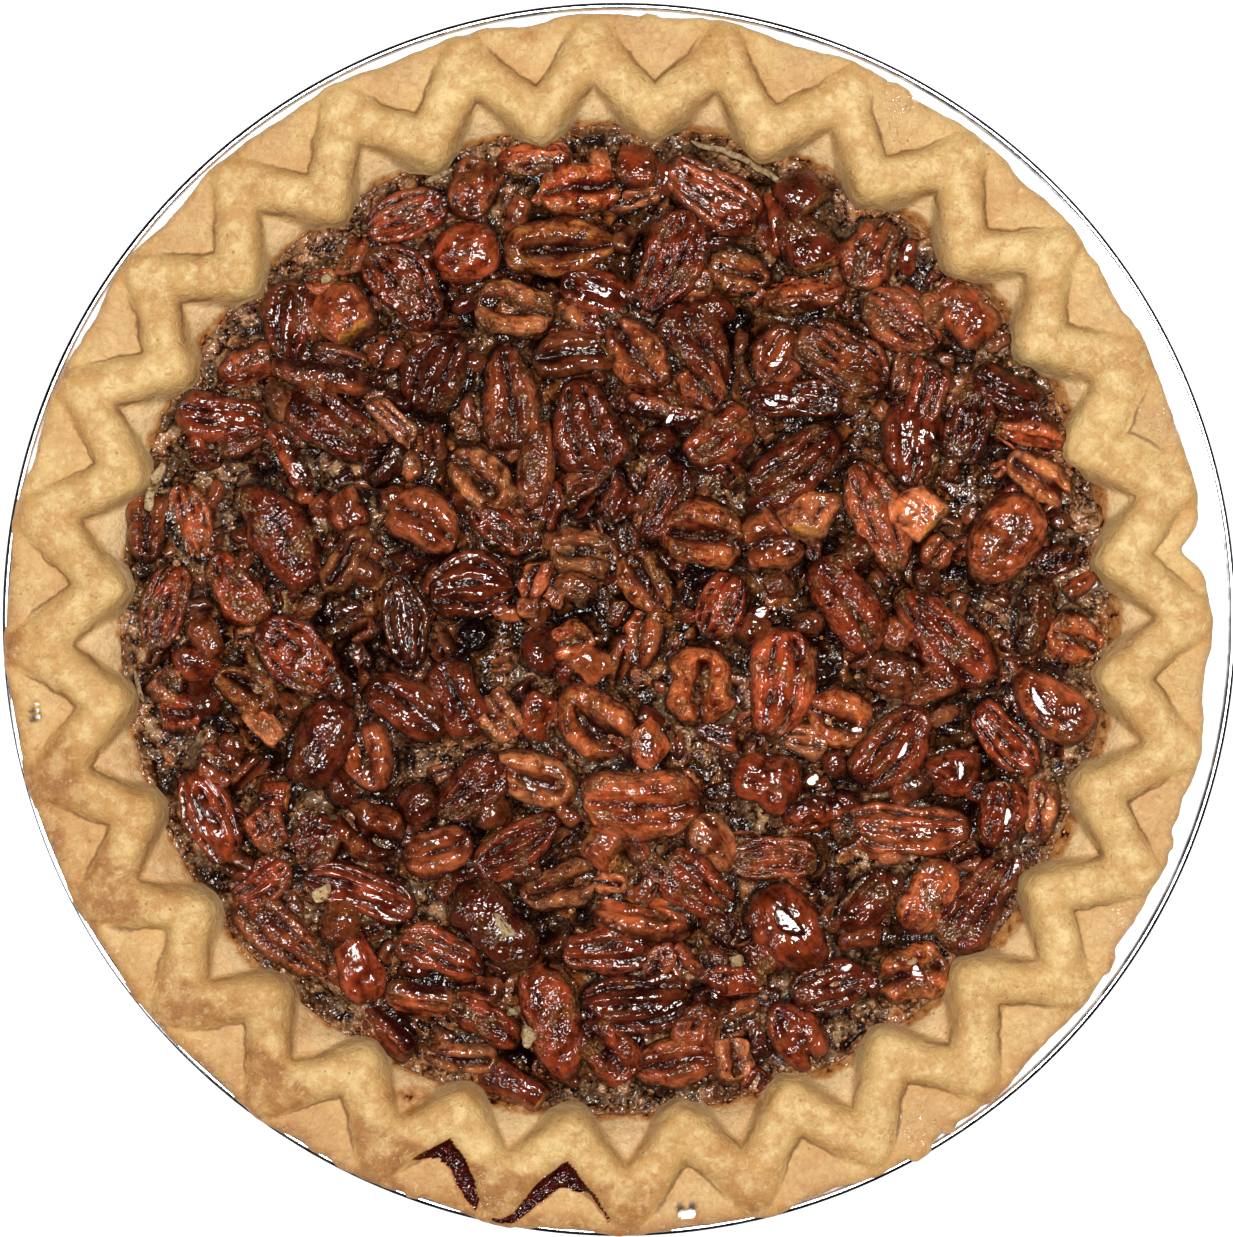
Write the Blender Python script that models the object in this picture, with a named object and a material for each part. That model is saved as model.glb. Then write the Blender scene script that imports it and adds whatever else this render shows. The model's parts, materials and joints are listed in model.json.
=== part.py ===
# Pecan pie in its own foil pan: the pan, a hand-crimped crust, the caramel filling and the
# pecan halves that lie on it. Sizes are in millimetres and become metres when a mesh is made.
# +Z is up, and the origin is under the middle of the pan's base.
import math
import random

import bmesh
import bpy

MM = 0.001
GAP = 0.3

# Foil pan
PAN_BASE_R = 89.0
PAN_WALL_R = 111.0
PAN_FLANGE_Z = 28.0
PAN_FOIL = 0.5
PAN_OUT_R = 122.5
BEAD_R = 0.9

# Crust
DOUGH = 4.9
CRIMPS = 28
COLUMNS_PER_CRIMP = 6
COLUMNS = CRIMPS * COLUMNS_PER_CRIMP
RIDGE_IN_R = 101.1
RIDGE_OUT_R = 113.2
RIDGE_HALF = 5.3
RIDGE_SHOULDER = 3.5
RIDGE_Z = 34.0
SHOULDER_DROP = 1.5
POCKET_Z = 30.4
POCKET_TIP_R = 106.0
POCKET_RISE = 0.08
RIM_Z = 30.9
WALL_RISE = 6.0
WALL_REACH = 4.5
SQUASHED_AT = 21.0
SQUASHED_OVER = 7.0
SQUASHED_BY = 0.62

# Filling
FILL_R = 98.8
FILL_EDGE_Z = 24.2
FILL_DOME = 2.4
FILL_SINK_Z = 17.5

# Nuts lie on the filling: kind, colour, x, y, heading in degrees, length, width
NUTS = [
    ("back", "red", -42.2, 80.0, 20, 17.0, 8.8),
    ("back", "red", -43.3, 65.6, -48, 20.5, 11.6),
    ("back", "dark", -64.9, 59.2, 86, 16.5, 9.5),
    ("back", "dark", -35.7, 48.5, 67, 16.8, 12.2),
    ("back", "dark", -56.7, 39.0, -35, 20.0, 11.0),
    ("smooth", "red", -30.4, 73.0, 20, 13.6, 11.4),
    ("face", "red", -7.7, 85.4, 8, 17.5, 9.3),
    ("back", "orange", 19.0, 85.0, -30, 21.0, 10.4),
    ("face", "brown", -11.8, 73.8, 4, 22.5, 10.8),
    ("back", "red", 9.5, 71.2, 66, 22.0, 11.6),
    ("face", "tan", -20.9, 61.2, -10, 15.8, 10.6),
    ("back", "orange", -21.8, 44.0, -82, 20.6, 10.2),
    ("face", "orange", 3.8, 52.9, -50, 16.2, 10.6),
    ("back", "dark", 15.6, 54.0, -58, 19.6, 10.6),
    ("back", "red", -6.3, 38.3, -75, 19.8, 12.8),
    ("back", "orange", 56.2, 59.0, -35, 17.6, 9.8),
    ("smooth", "orange", 68.7, 60.7, -50, 14.0, 9.8),
    ("back", "brown", 44.5, 51.6, -30, 20.6, 12.2),
    ("back", "red", -89.8, 2.3, 75, 18.0, 8.4),
    ("smooth", "dark", -67.8, 16.3, -58, 24.0, 11.5),
    ("back", "red", -64.2, -6.8, -40, 18.8, 11.6),
    ("back", "brown", -42.9, -0.5, -80, 18.8, 8.4),
    ("back", "orange", -38.6, 18.8, -30, 15.0, 11.6),
    ("back", "red", -29.3, 6.0, 3, 17.0, 12.0),
    ("smooth", "dark", -59.5, -24.4, 65, 19.6, 11.0),
    ("back", "red", -42.4, -17.8, -32, 18.0, 10.2),
    ("face", "orange", 16.3, 16.3, -10, 16.5, 12.5),
    ("face", "orange", 15.9, -13.1, 90, 15.5, 12.5),
    ("back", "red", 30.9, -12.2, 83, 22.0, 12.6),
    ("smooth", "red", 29.3, -32.4, -20, 14.5, 10.8),
    ("face", "orange", -5.0, -19.6, -40, 16.6, 12.0),
    ("back", "orange", 4.0, -35.7, -2, 23.8, 13.2),
    ("back", "dark", 34.5, 31.0, 38, 21.0, 11.0),
    ("back", "orange", 50.6, 20.4, -68, 23.0, 10.0),
    ("smooth", "orange", 76.0, 15.9, 55, 19.6, 12.8),
    ("back", "red", 44.9, 2.7, -58, 22.0, 11.0),
    ("back", "red", 65.1, -3.2, -45, 25.6, 11.2),
    ("smooth", "orange", 86.4, -16.8, -38, 18.8, 10.8),
    ("back", "red", 77.0, -23.2, -48, 17.6, 8.6),
    ("back", "red", 53.8, -24.6, 50, 20.2, 11.2),
    ("back", "red", -81.6, -39.4, -65, 19.6, 9.4),
    ("back", "red", -52.0, -54.5, -18, 23.6, 9.2),
    ("back", "brown", -66.6, -62.9, -40, 24.0, 9.0),
    ("back", "red", -35.8, -67.0, -22, 18.6, 8.6),
    ("back", "red", -20.4, -44.6, 33, 20.0, 9.2),
    ("face", "tan", -12.4, -52.8, 19, 15.6, 8.6),
    ("smooth", "dark", -24.6, -60.8, -48, 21.4, 11.2),
    ("back", "red", 15.9, -52.0, -40, 16.6, 10.6),
    ("back", "orange", 30.6, -47.8, 0, 18.0, 8.6),
    ("smooth", "red", 34.5, -61.5, -50, 20.4, 12.0),
    ("smooth", "red", -13.9, -80.4, -75, 23.4, 9.8),
    ("back", "dark", 3.4, -75.4, 5, 21.6, 12.4),
    ("back", "orange", 11.6, -88.2, 8, 18.6, 8.8),
    ("back", "orange", 57.6, -40.8, -3, 24.2, 9.8),
    ("back", "dark", 71.0, -56.0, 55, 22.0, 10.2),
    ("face", "orange", 58.3, -70.4, 20, 14.8, 11.0),
]

# Heights across a nut from edge to edge, as parts of its full height
NUT_ACROSS = (-1.0, -0.70, -0.36, 0.0, 0.36, 0.70, 1.0)
NUT_SECTION = {
    "back": (0.0, 0.80, 0.64, 1.0, 0.64, 0.80, 0.0),
    "face": (0.0, 1.0, 0.66, 0.78, 0.66, 1.0, 0.0),
    "smooth": (0.0, 0.72, 0.95, 1.0, 0.95, 0.72, 0.0),
}
NUT_HEIGHT = {"back": 0.47, "face": 0.42, "smooth": 0.48}
NUT_STATIONS = 6
NUT_EMBED = 0.05

# Colours as linear red, green and blue, with roughness and metallic
LOOKS = {
    "foil": ((0.86, 0.86, 0.87), 0.28, 1.0),
    "dough": ((0.72, 0.47, 0.21), 0.62, 0.0),
    "caramel": ((0.075, 0.026, 0.010), 0.22, 0.0),
    "pecan_red": ((0.160, 0.036, 0.012), 0.28, 0.0),
    "pecan_orange": ((0.300, 0.085, 0.022), 0.30, 0.0),
    "pecan_tan": ((0.430, 0.190, 0.060), 0.38, 0.0),
    "pecan_brown": ((0.190, 0.070, 0.025), 0.32, 0.0),
    "pecan_dark": ((0.065, 0.020, 0.012), 0.26, 0.0),
}


def clear_scene():
    for item in list(bpy.data.objects):
        bpy.data.objects.remove(item, do_unlink=True)


def make_material(name):
    colour, roughness, metallic = LOOKS[name]
    material = bpy.data.materials.get(name) or bpy.data.materials.new(name)
    material.use_nodes = True
    shader = material.node_tree.nodes["Principled BSDF"]
    shader.inputs["Base Color"].default_value = (*colour, 1.0)
    shader.inputs["Roughness"].default_value = roughness
    shader.inputs["Metallic"].default_value = metallic
    return material


def make_object(name, points, faces, look):
    mesh = bpy.data.meshes.new(name)
    mesh.from_pydata([(x * MM, y * MM, z * MM) for x, y, z in points], [], faces)
    work = bmesh.new()
    work.from_mesh(mesh)
    bmesh.ops.triangulate(work, faces=work.faces[:])
    bmesh.ops.recalc_face_normals(work, faces=work.faces[:])
    work.to_mesh(mesh)
    work.free()
    mesh.shade_smooth()
    mesh.set_sharp_from_angle(angle=math.radians(55.0))
    mesh.materials.append(make_material(look))
    item = bpy.data.objects.new(name, mesh)
    bpy.context.scene.collection.objects.link(item)
    return item


# Columns run round the pie. Every ring shares them, so neighbouring pieces keep an even gap.


def bearing(column):
    # The crimps were pinched by hand, so their spacing drifts round the rim.
    even = 2.0 * math.pi * column / COLUMNS
    drift = 8.0 - 1.2 * math.cos(even) + 1.1 * math.sin(even) + 0.5 * math.sin(2.0 * even)
    return even + math.radians(drift)


def zigzag(column):
    half = COLUMNS_PER_CRIMP // 2
    step = column % COLUMNS_PER_CRIMP
    return min(step, COLUMNS_PER_CRIMP - step) / half


def by_hand(column, seed, amount):
    # A small uneven shift that is the same on every run
    return random.Random(seed * 1000 + column % COLUMNS).uniform(-amount, amount)


def squash(column):
    # One crimp was pressed nearly flat.
    away = (math.degrees(bearing(column)) - SQUASHED_AT + 180.0) % 360.0 - 180.0
    return SQUASHED_BY * math.exp(-((away / SQUASHED_OVER) ** 2))


def pushed_off_centre(column, east, north):
    angle = bearing(column)
    return east * math.cos(angle) + north * math.sin(angle)


def ridge_radius(column):
    run = RIDGE_IN_R + (RIDGE_OUT_R - RIDGE_IN_R) * zigzag(column)
    return run + pushed_off_centre(column, -1.3, -0.8) + by_hand(column, 1, 0.25)


def crown_height(column):
    high = RIDGE_Z - 0.8 * zigzag(column) + by_hand(column, 2, 0.2)
    return high - (high - POCKET_Z) * squash(column)


def rim_radius(column):
    angle = bearing(column)
    radius = 119.7 - 1.7 * math.cos(angle) - 0.9 * math.sin(angle)
    radius -= 0.8 * math.cos(2.0 * angle) + 0.5 * math.cos(3.0 * angle)
    radius += 0.7 * math.cos(math.pi * (1.0 - zigzag(column))) + by_hand(column, 3, 0.35)
    return min(radius, PAN_OUT_R - 0.4)


def wall_height(radius):
    # The crust rises from the filling's edge, and levels off between the crimps.
    return FILL_EDGE_Z + WALL_RISE * (1.0 - math.exp(-(radius - FILL_R) / WALL_REACH))


def fill_radius(column):
    bay = FILL_R + pushed_off_centre(column, -0.9, -0.1)
    return min(bay, ridge_radius(column) - RIDGE_HALF - 0.3)


def ridge_offset(column, offset, height):
    return ridge_radius(column) + offset, height


def foot_in(column):
    radius = ridge_radius(column) - RIDGE_HALF
    return radius, max(wall_height(radius), FILL_EDGE_Z + 1.0)


def shoulder_in(column):
    lean = 1.0 - 0.6 * squash(column)
    return ridge_offset(column, -RIDGE_SHOULDER * lean, crown_height(column) - SHOULDER_DROP)


def crown(column):
    return ridge_offset(column, 0.0, crown_height(column))


def shoulder_out(column):
    radius = min(ridge_radius(column) + RIDGE_SHOULDER, rim_radius(column) - 2.6)
    return radius, crown_height(column) - SHOULDER_DROP


def foot_out(column):
    radius = min(ridge_radius(column) + RIDGE_HALF, rim_radius(column) - 1.9)
    return radius, POCKET_Z + (radius - POCKET_TIP_R) * POCKET_RISE + by_hand(column, 4, 0.12)


def rim_top(column):
    return rim_radius(column) - 0.8, RIM_Z


def rim_side(column):
    return rim_radius(column), RIM_Z - 1.1


def rim_under(column):
    # The edge lifts where it reaches out over the pan's bead.
    over_bead = rim_radius(column) > PAN_OUT_R - 2.0 * BEAD_R - 1.2
    lift = 0.6 if over_bead else 0.05
    return rim_radius(column) - 0.3, PAN_FLANGE_Z + GAP + lift


def flange_under(column):
    return min(rim_radius(column) - 2.4, 118.6), PAN_FLANGE_Z + GAP


def fixed(radius, height):
    return lambda column: (radius, height)


def lathe(name, start_z, rings, end_z, look):
    """Closed body of turned rings. Each ring is (columns skipped, profile function)."""
    points = [(0.0, 0.0, start_z)]
    starts = []
    for step, profile in rings:
        starts.append(len(points))
        for column in range(0, COLUMNS, step):
            radius, height = profile(column)
            angle = bearing(column)
            points.append((radius * math.cos(angle), radius * math.sin(angle), height))
    points.append((0.0, 0.0, end_z))
    faces = []

    def at(ring, index):
        count = COLUMNS // rings[ring][0]
        return starts[ring] + index % count

    for index in range(COLUMNS // rings[0][0]):
        faces.append((0, at(0, index + 1), at(0, index)))
    for ring in range(len(rings) - 1):
        here, there = rings[ring][0], rings[ring + 1][0]
        for index in range(COLUMNS // max(here, there)):
            if here == there:
                faces.append((at(ring, index), at(ring, index + 1),
                              at(ring + 1, index + 1), at(ring + 1, index)))
                continue
            fine, coarse = (ring, ring + 1) if here < there else (ring + 1, ring)
            first = at(fine, 2 * index)
            middle = at(fine, 2 * index + 1)
            last = at(fine, 2 * index + 2)
            left, right = at(coarse, index), at(coarse, index + 1)
            faces += [(first, middle, left), (middle, right, left), (middle, last, right)]
    top = len(points) - 1
    last_ring = len(rings) - 1
    for index in range(COLUMNS // rings[last_ring][0]):
        faces.append((top, at(last_ring, index), at(last_ring, index + 1)))
    return make_object(name, points, faces, look)


def make_pan():
    bead_z = PAN_FLANGE_Z - BEAD_R + 0.5
    bead_at = PAN_OUT_R - BEAD_R
    rings = [
        (2, fixed(PAN_BASE_R + 0.2, 0.0)),
        (2, fixed(PAN_WALL_R + 0.25, PAN_FLANGE_Z - PAN_FOIL)),
        (2, fixed(bead_at - BEAD_R, PAN_FLANGE_Z - PAN_FOIL)),
        (2, fixed(bead_at, bead_z - BEAD_R)),
        (2, fixed(PAN_OUT_R, bead_z)),
        (2, fixed(bead_at, bead_z + BEAD_R)),
        (2, fixed(bead_at - BEAD_R, PAN_FLANGE_Z)),
        (2, fixed(PAN_WALL_R, PAN_FLANGE_Z)),
        (2, fixed(PAN_BASE_R, PAN_FOIL)),
    ]
    lathe("pie_pan", 0.0, rings, PAN_FOIL, "foil")


def make_crust():
    outer_base = PAN_BASE_R - 0.35
    inner_base = PAN_BASE_R - DOUGH
    rings = [
        (2, fixed(outer_base, PAN_FOIL + GAP)),
        (2, fixed(PAN_WALL_R - 0.4, PAN_FLANGE_Z + GAP)),
        (2, flange_under),
        (2, rim_under),
        (2, rim_side),
        (2, rim_top),
        (1, foot_out),
        (1, shoulder_out),
        (1, crown),
        (1, shoulder_in),
        (1, foot_in),
        (1, lambda column: (fill_radius(column), FILL_EDGE_Z)),
        (2, lambda column: (fill_radius(column) - 1.6, FILL_SINK_Z)),
        (2, fixed(inner_base, PAN_FOIL + GAP + DOUGH)),
    ]
    lathe("crust", PAN_FOIL + GAP, rings, PAN_FOIL + GAP + DOUGH, "dough")


def filling_height(x, y):
    # Smooth dome that the nuts lie on
    return FILL_EDGE_Z + FILL_DOME * (1.0 - (x * x + y * y) / FILL_R ** 2)


def filling_ring(part, seed):
    def profile(column):
        radius = FILL_R * part
        sag = 0.35 + by_hand(column, seed, 0.3)
        return radius, filling_height(radius, 0.0) - sag
    return profile


def make_filling():
    base_z = PAN_FOIL + 2.0 * GAP + DOUGH
    rings = [
        (2, fixed(PAN_BASE_R - DOUGH - 0.5, base_z)),
        (2, lambda column: (fill_radius(column) - 2.15, FILL_SINK_Z)),
        (1, lambda column: (fill_radius(column) - 0.5, FILL_EDGE_Z - 0.1)),
        (2, filling_ring(0.925, 5)),
        (4, filling_ring(0.66, 6)),
        (8, filling_ring(0.33, 7)),
    ]
    lathe("filling", base_z, rings, filling_height(0.0, 0.0) - 0.2, "caramel")


def make_nut(name, kind, tone, x, y, heading, length, width):
    """Half nut: one row of points across at each station, drawn to a point at both ends."""
    rng = random.Random(name)
    turn = math.radians(heading)
    height = max(NUT_HEIGHT[kind] * width, 4.0)
    bend = rng.uniform(-0.05, 0.05) * length
    taper = rng.uniform(-0.10, 0.10)

    def place(along, across, up):
        px = x + along * math.cos(turn) - across * math.sin(turn)
        py = y + along * math.sin(turn) + across * math.cos(turn)
        return px, py, filling_height(px, py) + GAP - NUT_EMBED + up

    points = [place(-length / 2.0, 0.0, 0.0)]
    for station in range(1, NUT_STATIONS):
        part = -math.cos(math.pi * station / NUT_STATIONS)
        half = width / 2.0 * (1.0 - abs(part) ** 2.4) ** 0.55 * (1.0 + taper * part)
        rise = height * (1.0 - abs(part) ** 3) ** 0.5 * rng.uniform(0.95, 1.04)
        for across, level in zip(NUT_ACROSS, NUT_SECTION[kind]):
            shift = bend * (1.0 - part * part) * (1.0 - abs(across))
            uneven = 1.0 + rng.uniform(-0.05, 0.05)
            points.append(place(part * length / 2.0, across * half + shift, rise * level * uneven))
    points.append(place(length / 2.0, 0.0, 0.0))

    wide = len(NUT_ACROSS)
    last = len(points) - 1
    faces = []
    for index in range(wide - 1):
        faces.append((0, 1 + index, 2 + index))
        end = 1 + (NUT_STATIONS - 2) * wide + index
        faces.append((last, end + 1, end))
    for station in range(NUT_STATIONS - 2):
        row = 1 + station * wide
        for index in range(wide - 1):
            a = row + index
            faces.append((a, a + wide, a + wide + 1, a + 1))
        faces.append((row, row + wide - 1, row + 2 * wide - 1, row + wide))
    faces.append((0, wide, 1))
    faces.append((last, last - wide, last - 1))
    make_object(name, points, faces, "pecan_" + tone)


def main():
    clear_scene()
    make_pan()
    make_crust()
    make_filling()
    for number, (kind, tone, x, y, heading, length, width) in enumerate(NUTS, start=1):
        name = "pecan_%s_%02d" % (kind, number)
        make_nut(name, kind, tone, x, y, heading, length, width)


main()
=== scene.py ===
# Looks for the pecan pie: a hand-crimped crust, dark caramel full of froth, glazed pecan
# halves and broken nuts, and the foil pan. Shapes are worked out in millimetres.
import itertools
import json
import math
import random

import bpy
import numpy as np
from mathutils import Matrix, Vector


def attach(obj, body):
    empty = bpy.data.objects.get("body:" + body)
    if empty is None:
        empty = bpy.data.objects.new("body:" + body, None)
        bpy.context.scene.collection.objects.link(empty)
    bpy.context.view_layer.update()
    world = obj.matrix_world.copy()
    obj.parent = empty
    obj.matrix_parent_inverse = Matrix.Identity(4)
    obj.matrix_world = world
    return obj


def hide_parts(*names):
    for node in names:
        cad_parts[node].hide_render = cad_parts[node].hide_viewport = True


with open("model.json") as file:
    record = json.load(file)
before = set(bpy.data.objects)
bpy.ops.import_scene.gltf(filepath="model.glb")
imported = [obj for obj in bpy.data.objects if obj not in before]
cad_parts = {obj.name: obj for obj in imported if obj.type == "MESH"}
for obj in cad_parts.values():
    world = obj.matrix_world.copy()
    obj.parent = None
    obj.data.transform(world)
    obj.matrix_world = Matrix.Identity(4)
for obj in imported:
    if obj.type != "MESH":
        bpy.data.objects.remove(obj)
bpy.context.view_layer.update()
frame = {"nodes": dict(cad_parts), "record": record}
MM = 0.001

# The pan and crust's own sizes, the same as the CAD part's
PAN_BASE_R = 89.0
PAN_WALL_R = 111.0
PAN_FLANGE_Z = 28.0
PAN_FOIL = 0.5
PAN_OUT_R = 122.5
BEAD_R = 0.9
DOUGH = 4.9
CRIMPS = 28
COLUMNS_PER_CRIMP = 6
COLUMNS = CRIMPS * COLUMNS_PER_CRIMP
RIDGE_IN_R = 101.1
RIDGE_OUT_R = 113.2
RIDGE_Z = 34.0
POCKET_Z = 30.4
POCKET_TIP_R = 106.0
FILL_R = 98.8
FILL_EDGE_Z = 24.2
FILL_DOME = 2.4

# The gap left between pan, dough and filling, the height where the steep side below the
# filling's edge ends, half the ridge's width, and about how far its crown falls to its sides
SEAM = 0.3
SKIRT_Z = 17.5
RIDGE_HALF = 4.2
CROWN_FALL = 2.9

# Mesh columns and rings of the crust: columns for each CAD column, rings across the top, and
# the samples along the slope that the rings are picked from
CRUST_FINER = 7
CRUST_RINGS = 48
CRUST_SAMPLES = 260

# How far caramel climbs up a nut's side, and how deep it sinks in a pit
CLIMB = 1.9
PIT_DEPTH = 3.6

# About how many bubbles of froth and fragments of nut are made
BUBBLES = 1400
FRAGMENTS = 330

# The camera's height, and half the view's height at the pan's flange, in metres
CAMERA_Z = 0.86
HALF_VIEW = 0.1226

# Colours as linear red, green and blue
TONES = {
    "pecan_red": (0.19, 0.0305, 0.005),
    "pecan_orange": (0.27, 0.056, 0.0095),
    "pecan_tan": (0.335, 0.09, 0.017),
    "pecan_brown": (0.182, 0.04, 0.0065),
    "pecan_dark": (0.105, 0.0165, 0.003),
}


def rows(text):
    """Reads a table: rows are parted by bars or new lines, and names stay text"""
    split = [row.split() for row in text.replace("\n", "|").split("|")]
    return [tuple(float(w) if w[-1].isdigit() else w for w in words) for words in split if words]


# ---- noise


def hashed(cells, seed):
    """Even random values from 0 to 1, one for each row of whole numbers"""
    value = np.full(len(cells), (seed * 2654435761 + 97) % 2 ** 32, np.uint32)
    for axis, prime in zip(cells.T, (0x8DA6B343, 0xD8163841, 0xCB1AB31F)):
        value ^= ((axis.astype(np.int64) * prime) & 0xFFFFFFFF).astype(np.uint32)
        value *= np.uint32(0x85EBCA6B)
        value ^= value >> np.uint32(13)
        value *= np.uint32(0xC2B2AE35)
        value ^= value >> np.uint32(16)
    return value / 2.0 ** 32


def noise(points, size, seed):
    """Smooth noise from -1 to 1 whose lumps are about as wide as size"""
    scaled = points / size
    cell = np.floor(scaled)
    part = scaled - cell
    part = part * part * (3.0 - 2.0 * part)
    total = np.zeros(len(points))
    for corner in itertools.product((0, 1), repeat=points.shape[1]):
        step = np.array(corner)
        weight = np.prod(np.where(step, part, 1.0 - part), axis=1)
        total += weight * hashed(cell + step, seed)
    return total * 2.0 - 1.0


def fractal(points, size, seed, octaves=3):
    total = np.zeros(len(points))
    for octave in range(octaves):
        total += noise(points, size / 2 ** octave, seed + 7 * octave) / 2 ** octave
    return total / 1.6


def bubbles(xy, size, seed, share):
    """Height from 0 to 1 of round bubbles that crowd together, each in its own cell"""
    cell = np.floor(xy / size)
    best = np.zeros(len(xy))
    for step in itertools.product((-1, 0, 1), repeat=2):
        near = cell + np.array(step)
        centre = near + np.stack([hashed(near, seed), hashed(near, seed + 1)], axis=1)
        radius = 0.3 + 0.42 * hashed(near, seed + 2) ** 2
        here = hashed(near, seed + 3) < share
        apart = np.sum((xy / size - centre) ** 2, axis=1) / radius ** 2
        best = np.maximum(best, here * np.sqrt(np.clip(1.0 - apart, 0.0, 1.0)) * radius / 0.72)
    return best


def ease(low, high, value):
    """Smooth step from 0 at low to 1 at high"""
    part = np.clip((value - low) / (high - low), 0.0, 1.0)
    return part * part * (3.0 - 2.0 * part)


def bell(apart, size):
    return np.exp(-(apart / size) ** 2)


def spots(table, xy):
    """From 1 at the middle of the nearest spot to 0 far from all of them"""
    total = np.zeros(len(xy))
    for x, y, size in table:
        total = np.maximum(total, bell(np.hypot(xy[:, 0] - x, xy[:, 1] - y), size))
    return total


def softer_max(a, b, blend):
    mix = np.clip(0.5 + 0.5 * (a - b) / blend, 0.0, 1.0)
    return b + (a - b) * mix + blend * mix * (1.0 - mix) * 0.5


def polar(radius, turn, *height):
    """Points at a radius and a bearing, flat or at a height"""
    parts = (radius * np.cos(turn), radius * np.sin(turn), *height)
    return np.stack(np.broadcast_arrays(*parts), axis=-1)


def rotate(points, axes, turn):
    cos, sin = math.cos(turn), math.sin(turn)
    points[:, axes] = points[:, axes] @ np.array([[cos, sin], [-sin, cos]])


# ---- mesh helpers


def new_piece(name, points, faces, material, attributes, slot, *nodes):
    """Makes a mesh on the root body, in place of the nodes named; slot is not used"""
    mesh = bpy.data.meshes.new(name)
    faces = [np.asarray(f, int) for f in faces]
    mesh.vertices.add(len(points))
    mesh.vertices.foreach_set("co", (np.asarray(points, float) * MM).ravel())
    loops = np.concatenate([f.ravel() for f in faces])
    sizes = np.concatenate([np.full(len(f), f.shape[1]) for f in faces])
    mesh.loops.add(len(loops))
    mesh.loops.foreach_set("vertex_index", loops)
    mesh.polygons.add(len(sizes))
    mesh.polygons.foreach_set("loop_start", np.concatenate([[0], np.cumsum(sizes)[:-1]]))
    mesh.polygons.foreach_set("use_smooth", np.full(len(sizes), True))
    for key, values in attributes.items():
        layer = mesh.attributes.new(key, "FLOAT", "POINT")
        layer.data.foreach_set("value", np.asarray(values, np.float32))
    mesh.update(calc_edges=True)
    mesh.validate()
    mesh.materials.append(material)
    item = bpy.data.objects.new(name, mesh)
    bpy.context.scene.collection.objects.link(item)
    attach(item, "root")
    if nodes:
        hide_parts(*nodes)


def ring_faces(rings, columns):
    """Quads between rings of points that close on themselves; rings come one after another"""
    ring = np.arange(rings - 1)[:, None] * columns
    column = np.arange(columns)[None, :]
    after = (column + 1) % columns
    quads = [ring + column, ring + after, ring + columns + after, ring + columns + column]
    return np.stack([q.ravel() for q in quads], axis=1)


def fan_faces(centre, ring_start, columns, upward):
    column = np.arange(columns)
    around = [ring_start + column, ring_start + (column + 1) % columns]
    return np.stack([np.full(columns, centre)] + (around if upward else around[::-1]), axis=1)


def closed_faces(rings, columns, outward=True):
    """Faces of rings that a fan closes at each end; the two end points come last"""
    last = rings * columns
    sides = ring_faces(rings, columns)
    return [sides if outward else sides[:, ::-1], fan_faces(last, 0, columns, not outward),
            fan_faces(last + 1, last - columns, columns, outward)]


def round_lattice(stations, around):
    """Tilt from one end of a body to the other, and turn round it: arrays [station, around]"""
    tilt = math.pi * (np.arange(stations) + 0.5) / stations
    return np.meshgrid(tilt, 2.0 * math.pi * np.arange(around) / around, indexing="ij")


def grid_normals(grid):
    """Upward unit normals of points [ring, column, xyz] whose rings widen and close round"""
    along = np.gradient(grid, axis=0)
    across = np.roll(grid, -1, axis=1) - np.roll(grid, 1, axis=1)
    normal = np.cross(along, across)
    return normal / np.maximum(np.linalg.norm(normal, axis=2, keepdims=True), 1e-9)


class Batch:
    """Many small bodies gathered into one mesh"""

    def __init__(self):
        self.points, self.faces, self.values, self.count = [], [], {}, 0

    def add(self, points, faces, attributes):
        self.points.append(points)
        self.faces.append([f + self.count for f in faces])
        for key, values in attributes.items():
            self.values.setdefault(key, []).append(values)
        self.count += len(points)

    def piece(self, name, material, slot):
        by_size = {}
        for block in itertools.chain(*self.faces):
            by_size.setdefault(block.shape[1], []).append(block)
        faces = [np.concatenate(blocks) for blocks in by_size.values()]
        values = {key: np.concatenate(parts) for key, parts in self.values.items()}
        new_piece(name, np.concatenate(self.points), faces, material, values, slot)


class TonedBatch:
    """Small bodies gathered into one mesh for each colour of nut"""

    def __init__(self):
        self.batches = {}

    def add(self, tone, points, faces, attributes):
        self.batches.setdefault(tone, Batch()).add(points, faces, attributes)

    def pieces(self, name, looks):
        for tone, batch in self.batches.items():
            batch.piece(name + "_" + tone, looks["pecan_" + tone], "pecan_" + tone)


# ---- materials

GLAZE_IOR = 1.62
CONTRAST = 1.12


class Network:
    """A node network built by short calls, with sizes in millimetres"""

    def __init__(self, tree):
        self.tree = tree
        self.spot = self.node("ShaderNodeTexCoord").outputs

    def node(self, kind, links=None, **settings):
        made = self.tree.nodes.new(kind)
        for key, value in settings.items():
            setattr(made, key, value)
        for key, value in (links or {}).items():
            socket = made.inputs[key]
            if isinstance(value, bpy.types.NodeSocket):
                self.tree.links.new(value, socket)
            else:
                socket.default_value = value
        return made

    def span(self, value, low, high, to_low=0.0, to_high=1.0):
        """A value that runs from to_low to to_high while the given one runs from low to high"""
        links = {"Value": value, "From Min": low, "From Max": high, "To Min": to_low,
                 "To Max": to_high}
        return self.node("ShaderNodeMapRange", links, clamp=True).outputs["Result"]


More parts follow.
